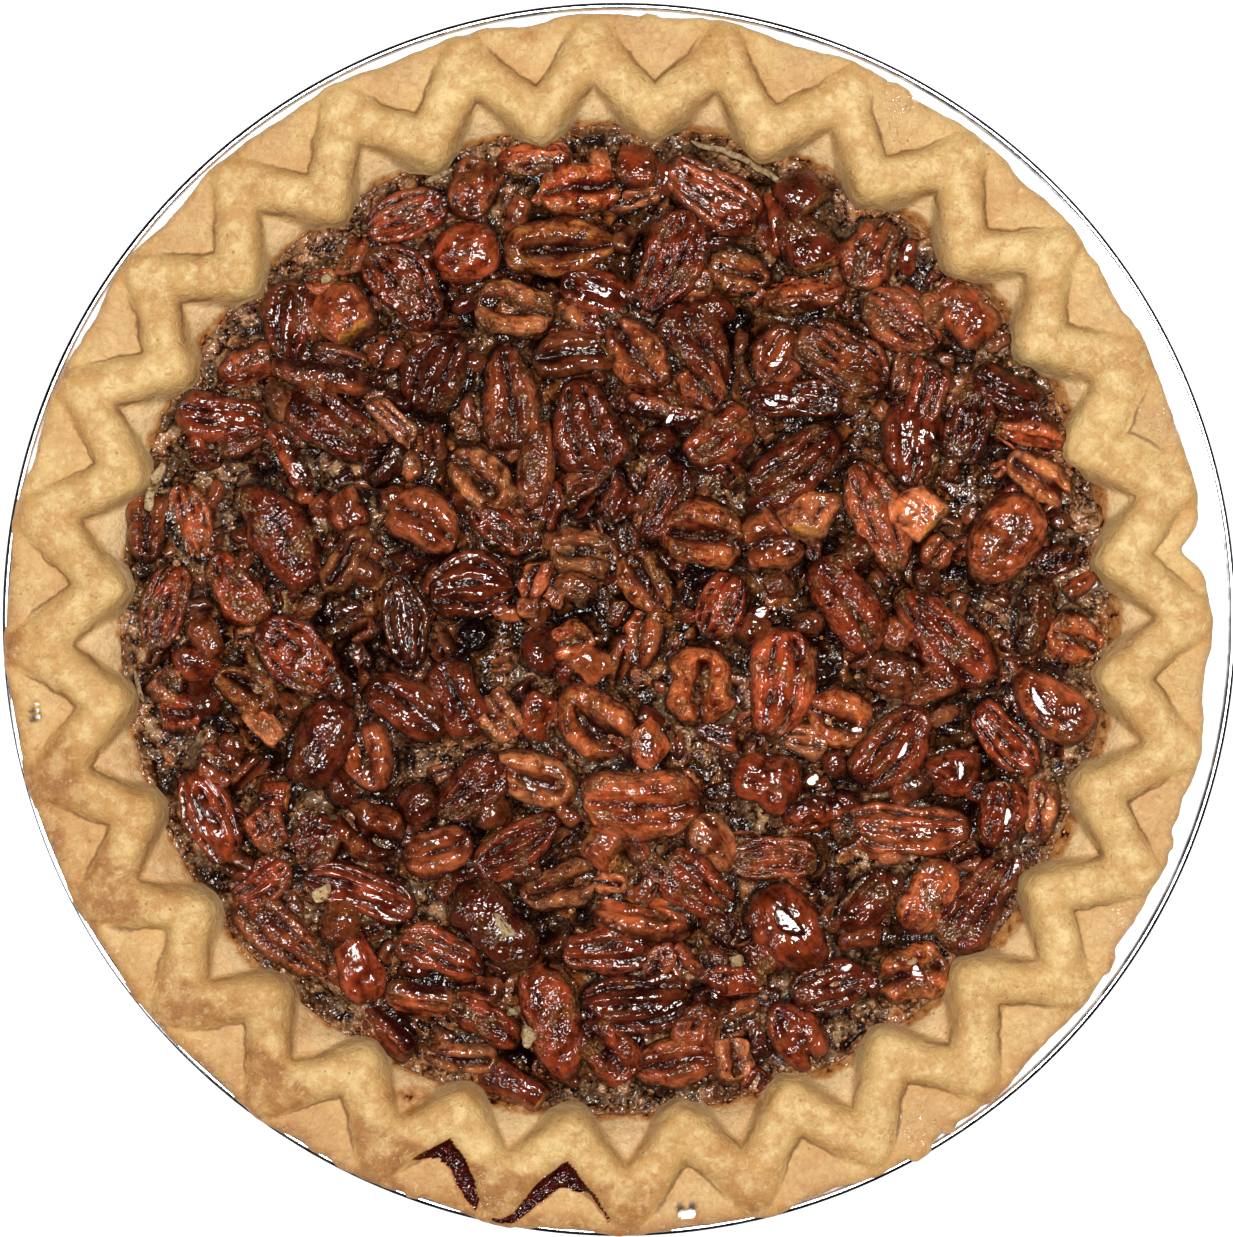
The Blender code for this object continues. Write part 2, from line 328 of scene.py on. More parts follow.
class Look(Network):
    """A Principled material; colour is what its finished surface shows so far"""

    def __init__(self, name, colour, **sockets):
        self.material = bpy.data.materials.new(name)
        self.material.use_nodes = True
        super().__init__(self.material.node_tree)
        self.shader = self.tree.nodes["Principled BSDF"]
        self.colour = colour
        for key, value in sockets.items():
            self.shader.inputs[key.replace("_", " ")].default_value = value

    def read(self, *names):
        return [self.node("ShaderNodeAttribute", attribute_name=name).outputs["Fac"]
                for name in names]

    def grain(self, size_mm, detail=3.0, roughness=0.55, warp=0.0, output="Fac"):
        links = {"Vector": self.spot["Object"], "Scale": 1.0 / (size_mm * MM),
                 "Detail": detail, "Roughness": roughness, "Distortion": warp}
        return self.node("ShaderNodeTexNoise", links).outputs[output]

    def fibres(self, along, across, size_mm, stretch, detail=3.0):
        """Noise drawn out along a nut, from its own lengthwise and crosswise places in mm"""
        where = {"X": self.math("MULTIPLY", along, 1.0 / stretch), "Y": across}
        links = {"Vector": self.node("ShaderNodeCombineXYZ", where).outputs["Vector"],
                 "Scale": 1.0 / size_mm, "Detail": detail, "Roughness": 0.6}
        return self.node("ShaderNodeTexNoise", links).outputs["Fac"]

    def cells(self, size_mm):
        """Distance from the middles of scattered cells"""
        links = {"Vector": self.spot["Object"], "Scale": 1.0 / (size_mm * MM)}
        return self.node("ShaderNodeTexVoronoi", links).outputs["Distance"]

    def domes(self, distance):
        return self.math("MULTIPLY_ADD", self.times(distance, distance), -1.0, 1.0)

    def shards(self, size_mm, warp_mm):
        """Uneven cells: how far each place is from its cell's middle, and two numbers per cell"""
        def vector(what, links):
            return self.node("ShaderNodeVectorMath", links, operation=what).outputs["Vector"]

        shift = self.grain(1.3 * size_mm, 2.0, 0.5, output="Color")
        shift = vector("SUBTRACT", {0: shift, 1: (0.5, 0.5, 0.5)})
        shift = vector("SCALE", {0: shift, "Scale": warp_mm * MM})
        links = {"Vector": vector("ADD", {0: self.spot["Object"], 1: shift}),
                 "Scale": 1.0 / (size_mm * MM)}
        made = self.node("ShaderNodeTexVoronoi", links, voronoi_dimensions="2D").outputs
        split = self.node("ShaderNodeSeparateColor", {"Color": made["Color"]}).outputs
        return made["Distance"], split["Red"], split["Green"]

    def math(self, what, a, b=0.5, c=0.5):
        return self.node("ShaderNodeMath", {0: a, 1: b, 2: c}, operation=what).outputs["Value"]

    def times(self, value, *others):
        for other in others:
            value = self.math("MULTIPLY", value, other)
        return value

    def mix(self, part, a, b, blend="MIX"):
        made = self.node("ShaderNodeMix", data_type="RGBA", blend_type=blend)
        for socket, value in (("Factor_Float", part), ("A_Color", a), ("B_Color", b)):
            target = next(s for s in made.inputs if s.identifier == socket)
            if isinstance(value, bpy.types.NodeSocket):
                self.tree.links.new(value, target)
            else:
                target.default_value = (*value, 1.0) if isinstance(value, tuple) else value
        return next(s for s in made.outputs if s.identifier == "Result_Color")

    def paint(self, cover, shade):
        """Lays a shade over the colour so far, as strongly as cover says"""
        self.colour = self.mix(cover, self.colour, shade)

    def deepen(self, *gain):
        """Makes what is dark darker and what is light lighter, with the middle kept by gain"""
        links = {"Color": self.mix(1.0, self.colour, gain, "MULTIPLY"), "Gamma": CONTRAST}
        self.colour = self.node("ShaderNodeGamma", links).outputs["Color"]

    def tinted(self, tint):
        links = {"Value": tint, "Color": self.colour}
        self.colour = self.node("ShaderNodeHueSaturation", links).outputs["Color"]

    def bump(self, height, depth_mm, before=None, strength=1.0):
        links = {"Height": height, "Distance": depth_mm * MM, "Strength": strength}
        if before is not None:
            links["Normal"] = before
        return self.node("ShaderNodeBump", links).outputs["Normal"]

    def finish(self, **links):
        for key, value in {"Base_Color": self.colour, **links}.items():
            self.tree.links.new(value, self.shader.inputs[key.replace("_", " ")])
        return self.material


def dough_look():
    look = Look("baked_dough", (0.745, 0.5, 0.194), IOR=1.42, Coat_Roughness=0.07,
                Coat_IOR=GLAZE_IOR)
    span, times, grain, paint = look.span, look.times, look.grain, look.paint
    beyond, pale, baked, rough, crease, syrup, hole, shadow, gloss = look.read(
        "beyond", "pale", "baked", "rough_patch", "crease", "syrup", "foil_hole", "shadow", "gloss")
    cloud = span(grain(11.0), 0.36, 0.66)
    paint(cloud, (0.605, 0.345, 0.115))
    mottle = span(grain(3.4, 3.0, 0.62), 0.4, 0.68)
    paint(times(mottle, 0.5), (0.56, 0.29, 0.09))
    # Painted highlight: the ridge's crown is painted paler cream, as if lit from above
    crown_highlight = times(span(beyond, -1.2, -3.0), span(mottle, 0.5, 0.0))
    paint(times(crown_highlight, 0.58), (0.85, 0.64, 0.3))
    paint(times(pale, 0.72), (0.735, 0.53, 0.285))
    paint(times(baked, span(mottle, 0.0, 1.0, 0.45, 1.0)), (0.52, 0.23, 0.062))
    toned = times(span(baked, 0.55, 1.0), span(mottle, 0.0, 0.8, 0.3, 0.9))
    paint(toned, (0.33, 0.132, 0.034))
    fibre = grain(1.7, 4.0, 0.66, 1.8)
    paint(span(fibre, 0.52, 0.7, 0.0, 0.46), (0.44, 0.22, 0.08))
    paint(span(fibre, 0.46, 0.3, 0.0, 0.38), (0.92, 0.72, 0.43))
    grit = span(grain(1.0, 3.0, 0.7), 0.46, 0.62, 0.35, 1.0)
    paint(times(rough, grit, 0.45), (0.48, 0.24, 0.112))
    wandering = grain(7.0, 4.0, 0.6, 2.4)
    crack = times(span(wandering, 0.508, 0.5), span(wandering, 0.49, 0.498))
    paint(times(crack, span(grain(13.0, 2.0), 0.46, 0.56), 0.7), (0.33, 0.145, 0.048))
    speck = span(look.cells(2.6), 0.08, 0.15, 1.0, 0.0)
    paint(times(speck, span(grain(6.0, 1.0), 0.57, 0.63), 0.6), (0.28, 0.115, 0.04))

    # Painted shade along the ridge's foot, and a thin dark line of painted shadow where a pocket meets
    # the ridge
    wander = grain(3.4)
    beyond = look.math("ADD", beyond, span(wander, 0.3, 0.7, -0.35, 0.35))
    shade = times(crease, span(mottle, 1.0, 0.0, 0.5, 1.0))
    foot_shade = times(span(beyond, -2.6, 0.1), span(beyond, 2.6, 0.4))
    paint(times(foot_shade, shade, 0.24), (0.43, 0.21, 0.085))
    line = times(span(beyond, -0.2, 0.2), span(beyond, 0.75, 0.4))
    paint(times(line, span(shade, 0.22, 0.7), 0.72), (0.17, 0.068, 0.024))

    # Syrup is amber where its film is thin and nearly black where it is thick
    film = look.math("ADD", syrup, span(grain(2.2), 0.3, 0.7, -0.15, 0.15))
    wet = span(film, 0.48, 0.58)
    paint(times(span(film, 0.14, 0.44), 0.9), (0.4, 0.14, 0.022))
    black = look.mix(span(fibre, 0.4, 0.58), (0.075, 0.0075, 0.004), (0.014, 0.0018, 0.0012))
    paint(wet, black)
    paint(span(hole, 0.45, 0.55), (0.95, 0.95, 0.96))
    # Painted shadow at the near side of the slits and the holes
    paint(shadow, (0.11, 0.08, 0.055))
    gloss = times(gloss, span(cloud, 0.0, 1.0, 0.6, 1.0))
    return look.finish(
        Roughness=look.math("MULTIPLY_ADD", wet, 0.3, span(cloud, 0.0, 1.0, 0.5, 0.62)),
        Specular_IOR_Level=span(wet, 0.0, 1.0, 0.4, 0.0),
        Normal=look.bump(wander, 0.4, look.bump(fibre, 0.36)),
        Coat_Normal=look.bump(grain(1.6, 1.0, 0.5), 1.9),
        Coat_Weight=look.math("MAXIMUM", span(film, 0.25, 0.6, 0.0, 0.8), gloss))


def caramel_look():
    look = Look("caramel_froth", (0.019, 0.0028, 0.0005), IOR=1.45, Specular_IOR_Level=0.05,
                Coat_Roughness=0.05, Coat_IOR=GLAZE_IOR)
    span, times, grain, paint = look.span, look.times, look.grain, look.paint
    froth, bubble, deep, edge = look.read("froth", "bubble", "deep", "edge")
    small = look.cells(0.85)
    patch = grain(2.6, 4.0, 0.66)
    paint(froth, (0.3, 0.102, 0.026))
    # The bubbles are painted lighter toward their tops and the small cells near black at their edges:
    # the froth's own pale colour, with painted light on the tops and painted shade between them
    paint(times(bubble, 0.5), (0.3, 0.12, 0.036))
    paint(times(span(small, 0.1, 0.5, 1.0, 0.0), froth, 0.8), (0.62, 0.34, 0.17))
    paint(span(small, 0.42, 0.62, 0.0, 0.6), (0.016, 0.003, 0.0008))
    paint(times(span(grain(9.0), 0.46, 0.62), 0.45), (0.21, 0.066, 0.012))

    # Crumbs of nut are mixed all through the caramel
    middle, kind, tone = look.shards(5.2, 7.0)
    body = span(middle, 0.52, 0.38)
    crumb = look.mix(tone, (0.08, 0.0125, 0.003), (0.285, 0.074, 0.015))
    crumb = look.mix(span(patch, 0.5, 0.64), crumb, (0.37, 0.122, 0.032))
    paint(times(body, span(kind, 0.4, 0.44), 0.8), crumb)
    paint(times(span(froth, 0.7, 1.0), span(patch, 0.46, 0.6), 0.55), (0.43, 0.265, 0.145))
    paint(edge, (0.27, 0.085, 0.014))
    # Near black in random dark patches and between crumbs, and where deep carries painted shade in the
    # hollows and painted shadow beside the nuts
    dark = look.math("MAXIMUM", span(patch, 0.49, 0.4), deep)
    dark = look.math("MAXIMUM", dark, times(span(middle, 0.5, 0.62), 0.7))
    dark = times(dark, span(edge, 0.05, 0.35, 1.0, 0.6))
    paint(times(dark, 0.97), (0.0065, 0.0006, 0.0002))
    look.deepen(1.3, 1.48, 1.62)
    raised = times(span(dark, 0.2, 0.8, 1.0, 0.0), span(froth, 0.1, 0.6))
    lumps = look.bump(body, 0.85, look.bump(times(look.domes(small), raised), 0.16))
    glaze = look.bump(grain(1.2, 1.0, 0.5), 0.58, lumps)
    return look.finish(Roughness=span(froth, 0.0, 1.0, 0.4, 0.6), Normal=glaze,
                       Coat_Normal=glaze, Coat_Weight=span(dark, 0.0, 1.0, 1.0, 0.5))


def nut_look(name, tone):
    red, green, blue = tone
    lighter = (min(red * 2.1, 0.66), green * 2.8, blue * 6.0)
    darker = (red * 0.09, green * 0.04, blue * 0.1)
    look = Look(name, (red * 1.34, green * 1.38, blue * 2.2), IOR=1.45, Specular_IOR_Level=0.12,
                Specular_Tint=(1.0, 0.62, 0.42, 1.0), Coat_IOR=GLAZE_IOR)
    span, times, grain, paint = look.span, look.times, look.grain, look.paint
    groove, rim, raw, tint, low, skin, dip, crest, along, across = look.read(
        "groove", "rim", "raw", "tint", "low", "skin", "dip", "crest", "along", "across")
    cloud = span(grain(4.5, 2.0, 0.6), 0.38, 0.64)
    paint(cloud, (red * 0.4, green * 0.25, blue * 0.4))
    fibre = look.fibres(along, across, 1.0, 3.6)
    patch = grain(1.8, 4.0, 0.7)
    paint(times(rim, span(patch, 0.4, 0.6)), lighter)
    paint(span(fibre, 0.52, 0.7, 0.0, 0.45), lighter)
    torn = span(look.math("MULTIPLY_ADD", patch, 0.9, raw), 0.78, 1.1)
    paint(torn, (0.52, 0.225, 0.048))
    paint(span(fibre, 0.44, 0.32, 0.0, 0.5), darker)
    paint(span(patch, 0.45, 0.32, 0.0, 0.7), darker)
    # Painted shade on the low sides (where the glaze is also thicker) and in the wrinkles' dips, and
    # painted light on their crests
    paint(span(low, 0.28, 0.9, 0.0, 0.95), darker)
    paint(span(dip, 0.0, 1.0, 0.0, 0.72), darker)
    paint(span(crest, 0.0, 1.0, 0.0, 0.58), lighter)
    # The grooves are painted near black: the skin's own dark furrows, deepened with painted shade
    paint(groove, darker)

    # Froth that dried on the nut
    dots = look.cells(0.8)
    foam = times(span(grain(5.0, 3.0, 0.6), 0.52, 0.62), span(skin, 0.2, 0.8))
    paint(times(foam, 0.72), (0.115, 0.044, 0.012))
    # Froth dots are painted paler at their middles, where the fizz bumps rise: the froth's own colour
    # with painted light on the bubbles' tops
    paint(times(foam, span(dots, 0.1, 0.5, 0.7, 0.0)), (0.42, 0.22, 0.09))
    look.tinted(tint)
    look.deepen(1.22, 1.27, 1.36)
    fizz = look.bump(times(look.domes(dots), foam), 0.16)
    wrinkles = look.fibres(along, across, 1.2, 4.0, 1.0)
    wrinkled = look.bump(wrinkles, 0.25, fizz, span(skin, 0.0, 0.25))
    glaze = look.bump(grain(1.5, 1.0, 0.5), 0.92, wrinkled, span(skin, 0.0, 0.75))

    # The glaze is thick and smooth in some places, thin or dull in others
    coat = times(span(groove, 0.0, 1.0, 1.0, 0.2), span(skin, 0.3, 1.0, 1.0, 0.65))
    dull = span(grain(7.0, 2.0, 0.6), 0.4, 0.62, 0.04, 0.19)
    return look.finish(Roughness=span(cloud, 0.0, 1.0, 0.35, 0.5), Normal=glaze,
                       Coat_Normal=glaze, Coat_Weight=coat, Coat_Roughness=dull)


def foil_look():
    look = Look("spun_aluminium", (0.95, 0.95, 0.96), IOR=1.5)
    span = look.span
    smudge = look.grain(9.0)
    bead, = look.read("bead")
    look.paint(span(smudge, 0.3, 0.7), (0.88, 0.88, 0.9))
    rough = span(look.grain(3.0, 4.0), 0.3, 0.7, 0.36, 0.46)
    spun = look.bump(look.grain(1.2, 2.0), 0.012)
    return look.finish(Roughness=look.math("MULTIPLY_ADD", bead, -0.24, rough),
                       Normal=look.bump(smudge, 0.06, spun),
                       Metallic=span(bead, 0.0, 1.0, 0.3, 1.0))


def crumb_look():
    look = Look("pastry_crumb", (0.8, 0.62, 0.36), IOR=1.42, Specular_IOR_Level=0.35)
    tint, = look.read("tint")
    crumb = look.grain(1.3, 4.0, 0.65)
    look.paint(look.span(crumb, 0.38, 0.6), (0.52, 0.3, 0.11))
    look.paint(look.span(look.grain(0.9, 2.0), 0.55, 0.68), (0.22, 0.09, 0.03))
    look.tinted(tint)
    return look.finish(Roughness=look.span(look.grain(0.8), 0.3, 0.7, 0.5, 0.7),
                       Normal=look.bump(crumb, 0.8))


# ---- crust


def bearing(column):
    """Bearing of a CAD column; hand crimping makes the columns drift from even spacing"""
    even = 2.0 * math.pi * column / COLUMNS
    drift = 8.0 - 1.2 * np.cos(even) + 1.1 * np.sin(even) + 0.5 * np.sin(2.0 * even)
    return even + np.radians(drift)


def by_hand(seed, amount):
    """A small random change for each CAD column"""
    return np.array([random.Random(seed * 1000 + c).uniform(-amount, amount)
                     for c in range(COLUMNS)])


def apart_round(degrees, middle):
    """How far bearings are from the middle one, from -180 to 180 degrees"""
    return (degrees - middle + 180.0) % 360.0 - 180.0


# The crust at each CAD column. The zigzag is 0 at an inner elbow and 1 at an outer one. One
# crimp is pressed nearly flat, and the pie lies a little to one side in its pan.
PRESSED_AT = 21.0
column = np.arange(COLUMNS)
angle = bearing(column)
step = column % COLUMNS_PER_CRIMP
zigzag = np.minimum(step, COLUMNS_PER_CRIMP - step) / (COLUMNS_PER_CRIMP // 2)
squash = 0.62 * bell(apart_round(np.degrees(angle), PRESSED_AT), 7.0)
ridge_radius = RIDGE_IN_R + (RIDGE_OUT_R - RIDGE_IN_R) * zigzag
ridge_radius += -1.3 * np.cos(angle) - 0.8 * np.sin(angle) + by_hand(1, 0.25)
crown_height = RIDGE_Z - 0.8 * zigzag + by_hand(2, 0.2)
crown_height -= (crown_height - POCKET_Z) * squash
rim_radius = 119.7 - 1.7 * np.cos(angle) - 0.9 * np.sin(angle) - 0.8 * np.cos(2.0 * angle)
rim_radius += 0.7 * np.cos(math.pi * (1.0 - zigzag)) - 0.5 * np.cos(3.0 * angle)
rim_radius = np.minimum(rim_radius + by_hand(3, 0.35), PAN_OUT_R - 0.4)
fill_radius = np.minimum(FILL_R - 0.9 * np.cos(angle) - 0.1 * np.sin(angle), ridge_radius - 5.6)


def round_the_pie(values, where):
    """Values known at the CAD columns, read at any bearing"""
    turned = (where - angle[0]) % (2.0 * math.pi) + angle[0]
    return np.interp(turned, np.append(angle, angle[0] + 2.0 * math.pi),
                     np.append(values, values[0]))


def blur_round(values, reach):
    """Evens each value out with those beside it, all round the pie"""
    kernel = np.exp(-(np.arange(-3 * reach, 3 * reach + 1) / reach) ** 2 / 2.0)
    kernel /= kernel.sum()
    return np.convolve(np.pad(values, 3 * reach, "wrap"), kernel, "valid")


def ridge_distance(points):
    """Distance from the line that the middle of the crimped ridge follows"""
    start = polar(ridge_radius, angle)
    along = np.roll(start, -1, axis=0) - start
    best = np.full(len(points), 99.0)
    turn = np.arctan2(points[:, 1], points[:, 0])
    nearest = np.searchsorted(angle, (turn - angle[0]) % (2.0 * math.pi) + angle[0]) - 1
    for shift in range(-8, 9):
        which = (nearest + shift) % COLUMNS
        offset, line = points - start[which], along[which]
        part = np.clip(np.sum(offset * line, axis=1) / np.sum(line * line, axis=1), 0.0, 1.0)
        best = np.minimum(best, np.linalg.norm(offset - line * part[:, None], axis=1))
    return best


# Marks of handling and baking on the crust, with painted shadow beside the slits and holes: what,
# bearing in degrees, radius, size in mm
CRUST_MARKS = rows("""
slit 188.3 116.3 0.9 | slit 188.9 116.4 0.9 | slit 189.5 116.5 0.9 | shadow 188.9 117.3 0.8
shadow 189.7 117.4 0.8 | hole 276.1 118.4 1.7 | hole 276.8 118.4 1.7 | shadow 275.9 116.7 1.1
shadow 277.1 116.7 1.1 | gloss 255.6 115 1.5 | gloss 255.9 113.4 1.2 | gloss 257.1 117.4 1.5
gloss 270.8 105.2 1.4 | gloss 300 117 4 | gloss 330 115 4 | gloss 20 114 4 | gloss 62 116 4
notch 7 118 3.2 | stain 99 117 2.4 | stain 254 117 3 | stain 271 116 2.6 | stain 235 117 3
caramel 246.2 103.6 3 | caramel 247.6 101.6 1.6 | baked 311 104.5 5 | baked 77 114.5 1
baked 68 112 1 | baked 50 109.2 1.2 | baked 38 105.4 1 | baked 319.3 116.8 1.4
baked 238 119.5 4 | baked 243.5 119.5 3.5 | baked 221 119 4
""")

# Caramel that ran over the crust fills the tips of two outer pockets, and then parts into two
# legs along the creases: bearing where it starts and ends, radius where it starts and ends,
# how far the filled tip reaches, and how wide the leg is.
SPILLS = rows("""
247.5 251.8 106.3 114 6 0.3 | 251.8 256.4 106.3 120.6 6 2.1
258 263.7 105.2 121.5 7.8 2 | 263.7 269 105.2 120 7.8 0.3
""")

# Flaps of dough that lie out over the rim: bearing, half width in degrees, reach in mm
FLAPS = rows("""
240 1.2 0.8 | 250.3 1 0.9 | 299.5 1.6 1.6 | 303 0.8 1 | 325 1.4 1 | 338 1 0.7 | 62 1.4 0.6
87 1 0.7
""")


def marked(points, *kinds):
    """From 1 at the nearest mark of the kinds named to 0 far from all of them"""
    return spots([(*polar(radius, math.radians(degrees)), size)
                  for what, degrees, radius, size in CRUST_MARKS if what in kinds], points)


def wall_height(radius):
    """Height of the crust's inner wall: steep below the filling's edge, levelling off above"""
    rise = FILL_EDGE_Z + 6.0 * (1.0 - np.exp(-np.clip(radius - FILL_R, 0.0, None) / 4.5))
    return np.where(radius < FILL_R, FILL_EDGE_Z - (FILL_R - radius) * 1.3, rise)


def crust_rim(turn):
    """Radius of the crust's ragged outer edge"""
    edge = polar(118.0, turn)
    rim = blur_round(round_the_pie(rim_radius, turn), 4)
    rim += 0.55 * fractal(edge, 6.0, 41) + 0.2 * fractal(edge, 2.2, 42, 2)
    rim -= 4.0 * marked(edge, "notch")
    for degrees, wide, far in FLAPS:
        rim += far * ease(wide, 0.4 * wide, np.abs(apart_round(np.degrees(turn), degrees)))
    return np.minimum(rim, PAN_OUT_R - 0.15)


def crust_heights(turn, radius, rim):
    """Height of the crust's top at [sample, column], how much painted shade its crease gets, and
    how far it is beyond the ridge's side"""
    flat = polar(radius, turn).reshape(-1, 2)

    def field(size, seed):
        return fractal(flat, size, seed).reshape(radius.shape)

    wander = np.stack([fractal(flat, 9.0, 51), fractal(flat, 9.0, 52)], axis=1)
    apart = ridge_distance(flat + 0.7 * wander).reshape(radius.shape)
    elbow = ease(0.45, 1.0, round_the_pie(zigzag, turn))
    half = RIDGE_HALF * (1.0 + 0.35 * round_the_pie(squash, turn))
    half = half + (0.9 + 1.9 * elbow) * ease(109.5, 117.5, radius)
    across = np.clip(apart / half, 0.0, 1.0)
    beyond = np.clip(apart - half, 0.0, None)
    crown = blur_round(round_the_pie(crown_height, turn), 3)
    ridge_z = crown - CROWN_FALL * (1.0 - np.sqrt(1.0 - 0.97 * across ** 2.2))
    ridge_z -= beyond * 1.3 + beyond ** 2 * 1.2
    outside = radius > round_the_pie(ridge_radius, turn)
    lumps = field(6.0, 53)
    pocket = POCKET_Z + (radius - POCKET_TIP_R) * 0.08 + 0.3 * lumps
    pocket += 0.35 * ease(0.0, 4.0, beyond)
    height = softer_max(ridge_z, np.where(outside, pocket, wall_height(radius) + 0.25 * lumps), 0.8)
    # How strongly painted shade darkens the crease: outside the ridge it fades out toward the rim,
    # inside it grows away from the filling
    crease = np.where(outside, ease(0.5, 8.0, rim - radius),
                      0.2 + 0.45 * ease(0.0, 7.0, radius - FILL_R))
    crease *= 1.0 + 0.6 * field(11.0, 54)
    from_rim = np.clip((radius - (rim - 2.2)) / 2.2, 0.0, 1.0)
    height -= 1.9 * (1.0 - np.sqrt(1.0 - 0.99 * from_rim ** 2.4))
    pits = marked(flat, "slit", "hole").reshape(radius.shape)
    return height - 2.2 * ease(0.45, 0.75, pits), crease, apart - half


def crust_looks(points, crease, beyond):
    """Where the crust is baked, pale, cracked or wet, and where shade and shadow are painted on it: one
    value for each point and name
    """
    flat, height = points[:, :2], points[:, 2]
    reach = np.linalg.norm(flat, axis=1)
    degrees = np.degrees(np.arctan2(flat[:, 1], flat[:, 0])) % 360.0
    turn = np.radians(degrees)
    outside = reach > round_the_pie(ridge_radius, turn)

    # Browned toward the rim and in patches, most of all on one side of the pie, and on the
    # outer elbows of the ridge
    browner = 0.5 - 0.5 * np.cos(np.radians(degrees - 60.0))
    baked = ease(5.0, 0.0, round_the_pie(rim_radius, turn) - reach) * (0.14 + 0.5 * browner)
    baked += ease(-0.1, 0.8, fractal(flat, 16.0, 71)) * (0.14 + 0.34 * browner)
    baked += ease(0.1, 0.8, fractal(flat, 7.0, 74)) * 0.4
    baked += 0.22 * ease(0.6, 0.95, browner)
    elbow = ease(0.2, -1.6, beyond) * ease(108.6, 112.6, reach)
    facing = bell(apart_round(degrees, 236.0), 46.0)
    baked += elbow * (0.16 + 0.85 * facing) * (1.0 + 0.5 * fractal(flat, 5.0, 77))
    baked = np.maximum(baked, 0.75 * marked(flat, "baked"))

    # Syrup climbs the inner wall unevenly, and caramel ran over the ridge in a few places.
    above = height - FILL_EDGE_Z - 1.0 - 0.8 * fractal(flat, 7.0, 73)
    above -= 0.7 * ease(-0.1, 0.6, fractal(flat, 22.0, 76))
    syrup = 0.46 * ease(1.2, -0.9, above) * ~outside
    ragged = 0.5 * fractal(flat, 3.0, 75)
    for start, end, reach_in, reach_out, tip, width in SPILLS:
        wedge = ease(-0.2, 0.1, degrees - start) * ease(0.2, -0.1, degrees - end)
        wedge *= ease(reach_in - 0.5, reach_in + 0.5, reach) * outside
        wedge *= ease(0.8, -0.8, reach - reach_out - ragged)
        wide = width + ragged + 5.0 * ease(1.0, -1.0, reach - reach_in - tip - ragged)
        strip = ease(-0.9, -0.3, beyond) * ease(0.9, -0.7, beyond - wide)
        syrup = np.maximum(syrup, 0.95 * wedge * strip)
    syrup = np.maximum(syrup, 0.34 * marked(flat, "stain"))
    syrup = np.maximum(syrup, 0.5 * marked(flat, "caramel") * ~outside)
    return {
        "crease": np.clip(crease, 0.0, 1.0), "beyond": beyond, "syrup": syrup,
        "baked": np.clip(baked, 0.0, 1.0), "gloss": 0.8 * marked(flat, "gloss"),
        "pale": ease(0.2, 2.0, beyond) * np.where(outside, 0.2, 1.0),
        "rough_patch": ease(0.0, 1.0, beyond) * outside * ease(-0.3, 0.4, noise(flat, 12.0, 72)),
        "foil_hole": ease(0.5, 0.8, marked(flat, "slit", "hole")) * (height < 29.9),
        "shadow": ease(0.3, 0.8, marked(flat, "shadow"))}


def make_crust(material):
    columns = COLUMNS * CRUST_FINER
    turn = bearing(np.arange(columns) / CRUST_FINER)
    fill = blur_round(round_the_pie(fill_radius, turn), 3)
    rim = crust_rim(turn)
    inner = fill - 0.9
    part = np.linspace(0.0, 1.0, CRUST_SAMPLES)
    radius = inner + (rim - inner) * part[:, None]
    height, crease, beyond = crust_heights(turn, radius, rim)

    # Rings are spread evenly along the slope, so steep sides get as many as flat ones.
    run = np.hypot(np.diff(radius, axis=0), np.diff(height, axis=0) * 0.7)
    length = np.vstack([np.zeros(columns), np.cumsum(run, axis=0)])
    length /= length[-1]
    length = np.array([blur_round(row, 5) for row in length])
    stops = np.stack([np.interp(np.linspace(0.0, 1.0, CRUST_RINGS), along, part)
                      for along in length.T], axis=1)

    def at_rings(values):
        return np.stack([np.interp(stop, part, sampled)
                         for stop, sampled in zip(stops.T, values.T)], axis=1)

    top = polar(inner + (rim - inner) * stops, turn, at_rings(height))
    points = top.reshape(-1, 3)
    fine = 0.34 * fractal(points, 5.0, 61) + 0.15 * fractal(points, 1.7, 62)
    fine.reshape(CRUST_RINGS, columns)[-2:] *= 0.3
    points = points + grid_normals(top).reshape(-1, 3) * fine[:, None]

    over_bead = rim > PAN_OUT_R - 2.0 * BEAD_R - 1.2
    base_z, floor_z = PAN_FOIL + SEAM, PAN_FOIL + SEAM + DOUGH
    inside = [(PAN_BASE_R - DOUGH, floor_z), (fill - 1.6, SKIRT_Z)]
    below = [(rim - 0.3, PAN_FLANGE_Z + SEAM + np.where(over_bead, 0.6, 0.05)),
             (np.minimum(rim - 2.4, 118.6), PAN_FLANGE_Z + SEAM),
             (PAN_WALL_R - 0.4, PAN_FLANGE_Z + SEAM), (PAN_BASE_R - 0.35, base_z)]
    points = np.concatenate([polar(r, turn, z) for r, z in inside] + [points]
                            + [polar(r, turn, z) for r, z in below]
                            + [[[0, 0, floor_z]], [[0, 0, base_z]]])
    faces = closed_faces(len(inside) + CRUST_RINGS + len(below), columns, outward=False)

    def on_top(values, elsewhere):
        whole = np.full(len(points), elsewhere)
        whole[len(inside) * columns:-len(below) * columns - 2] = values.ravel()
        return whole

    looks = crust_looks(points, on_top(at_rings(crease), 0.0), on_top(at_rings(beyond), -9.0))
    new_piece("crimped_crust", points, faces, material, looks, "dough", "crust")


# ---- nuts

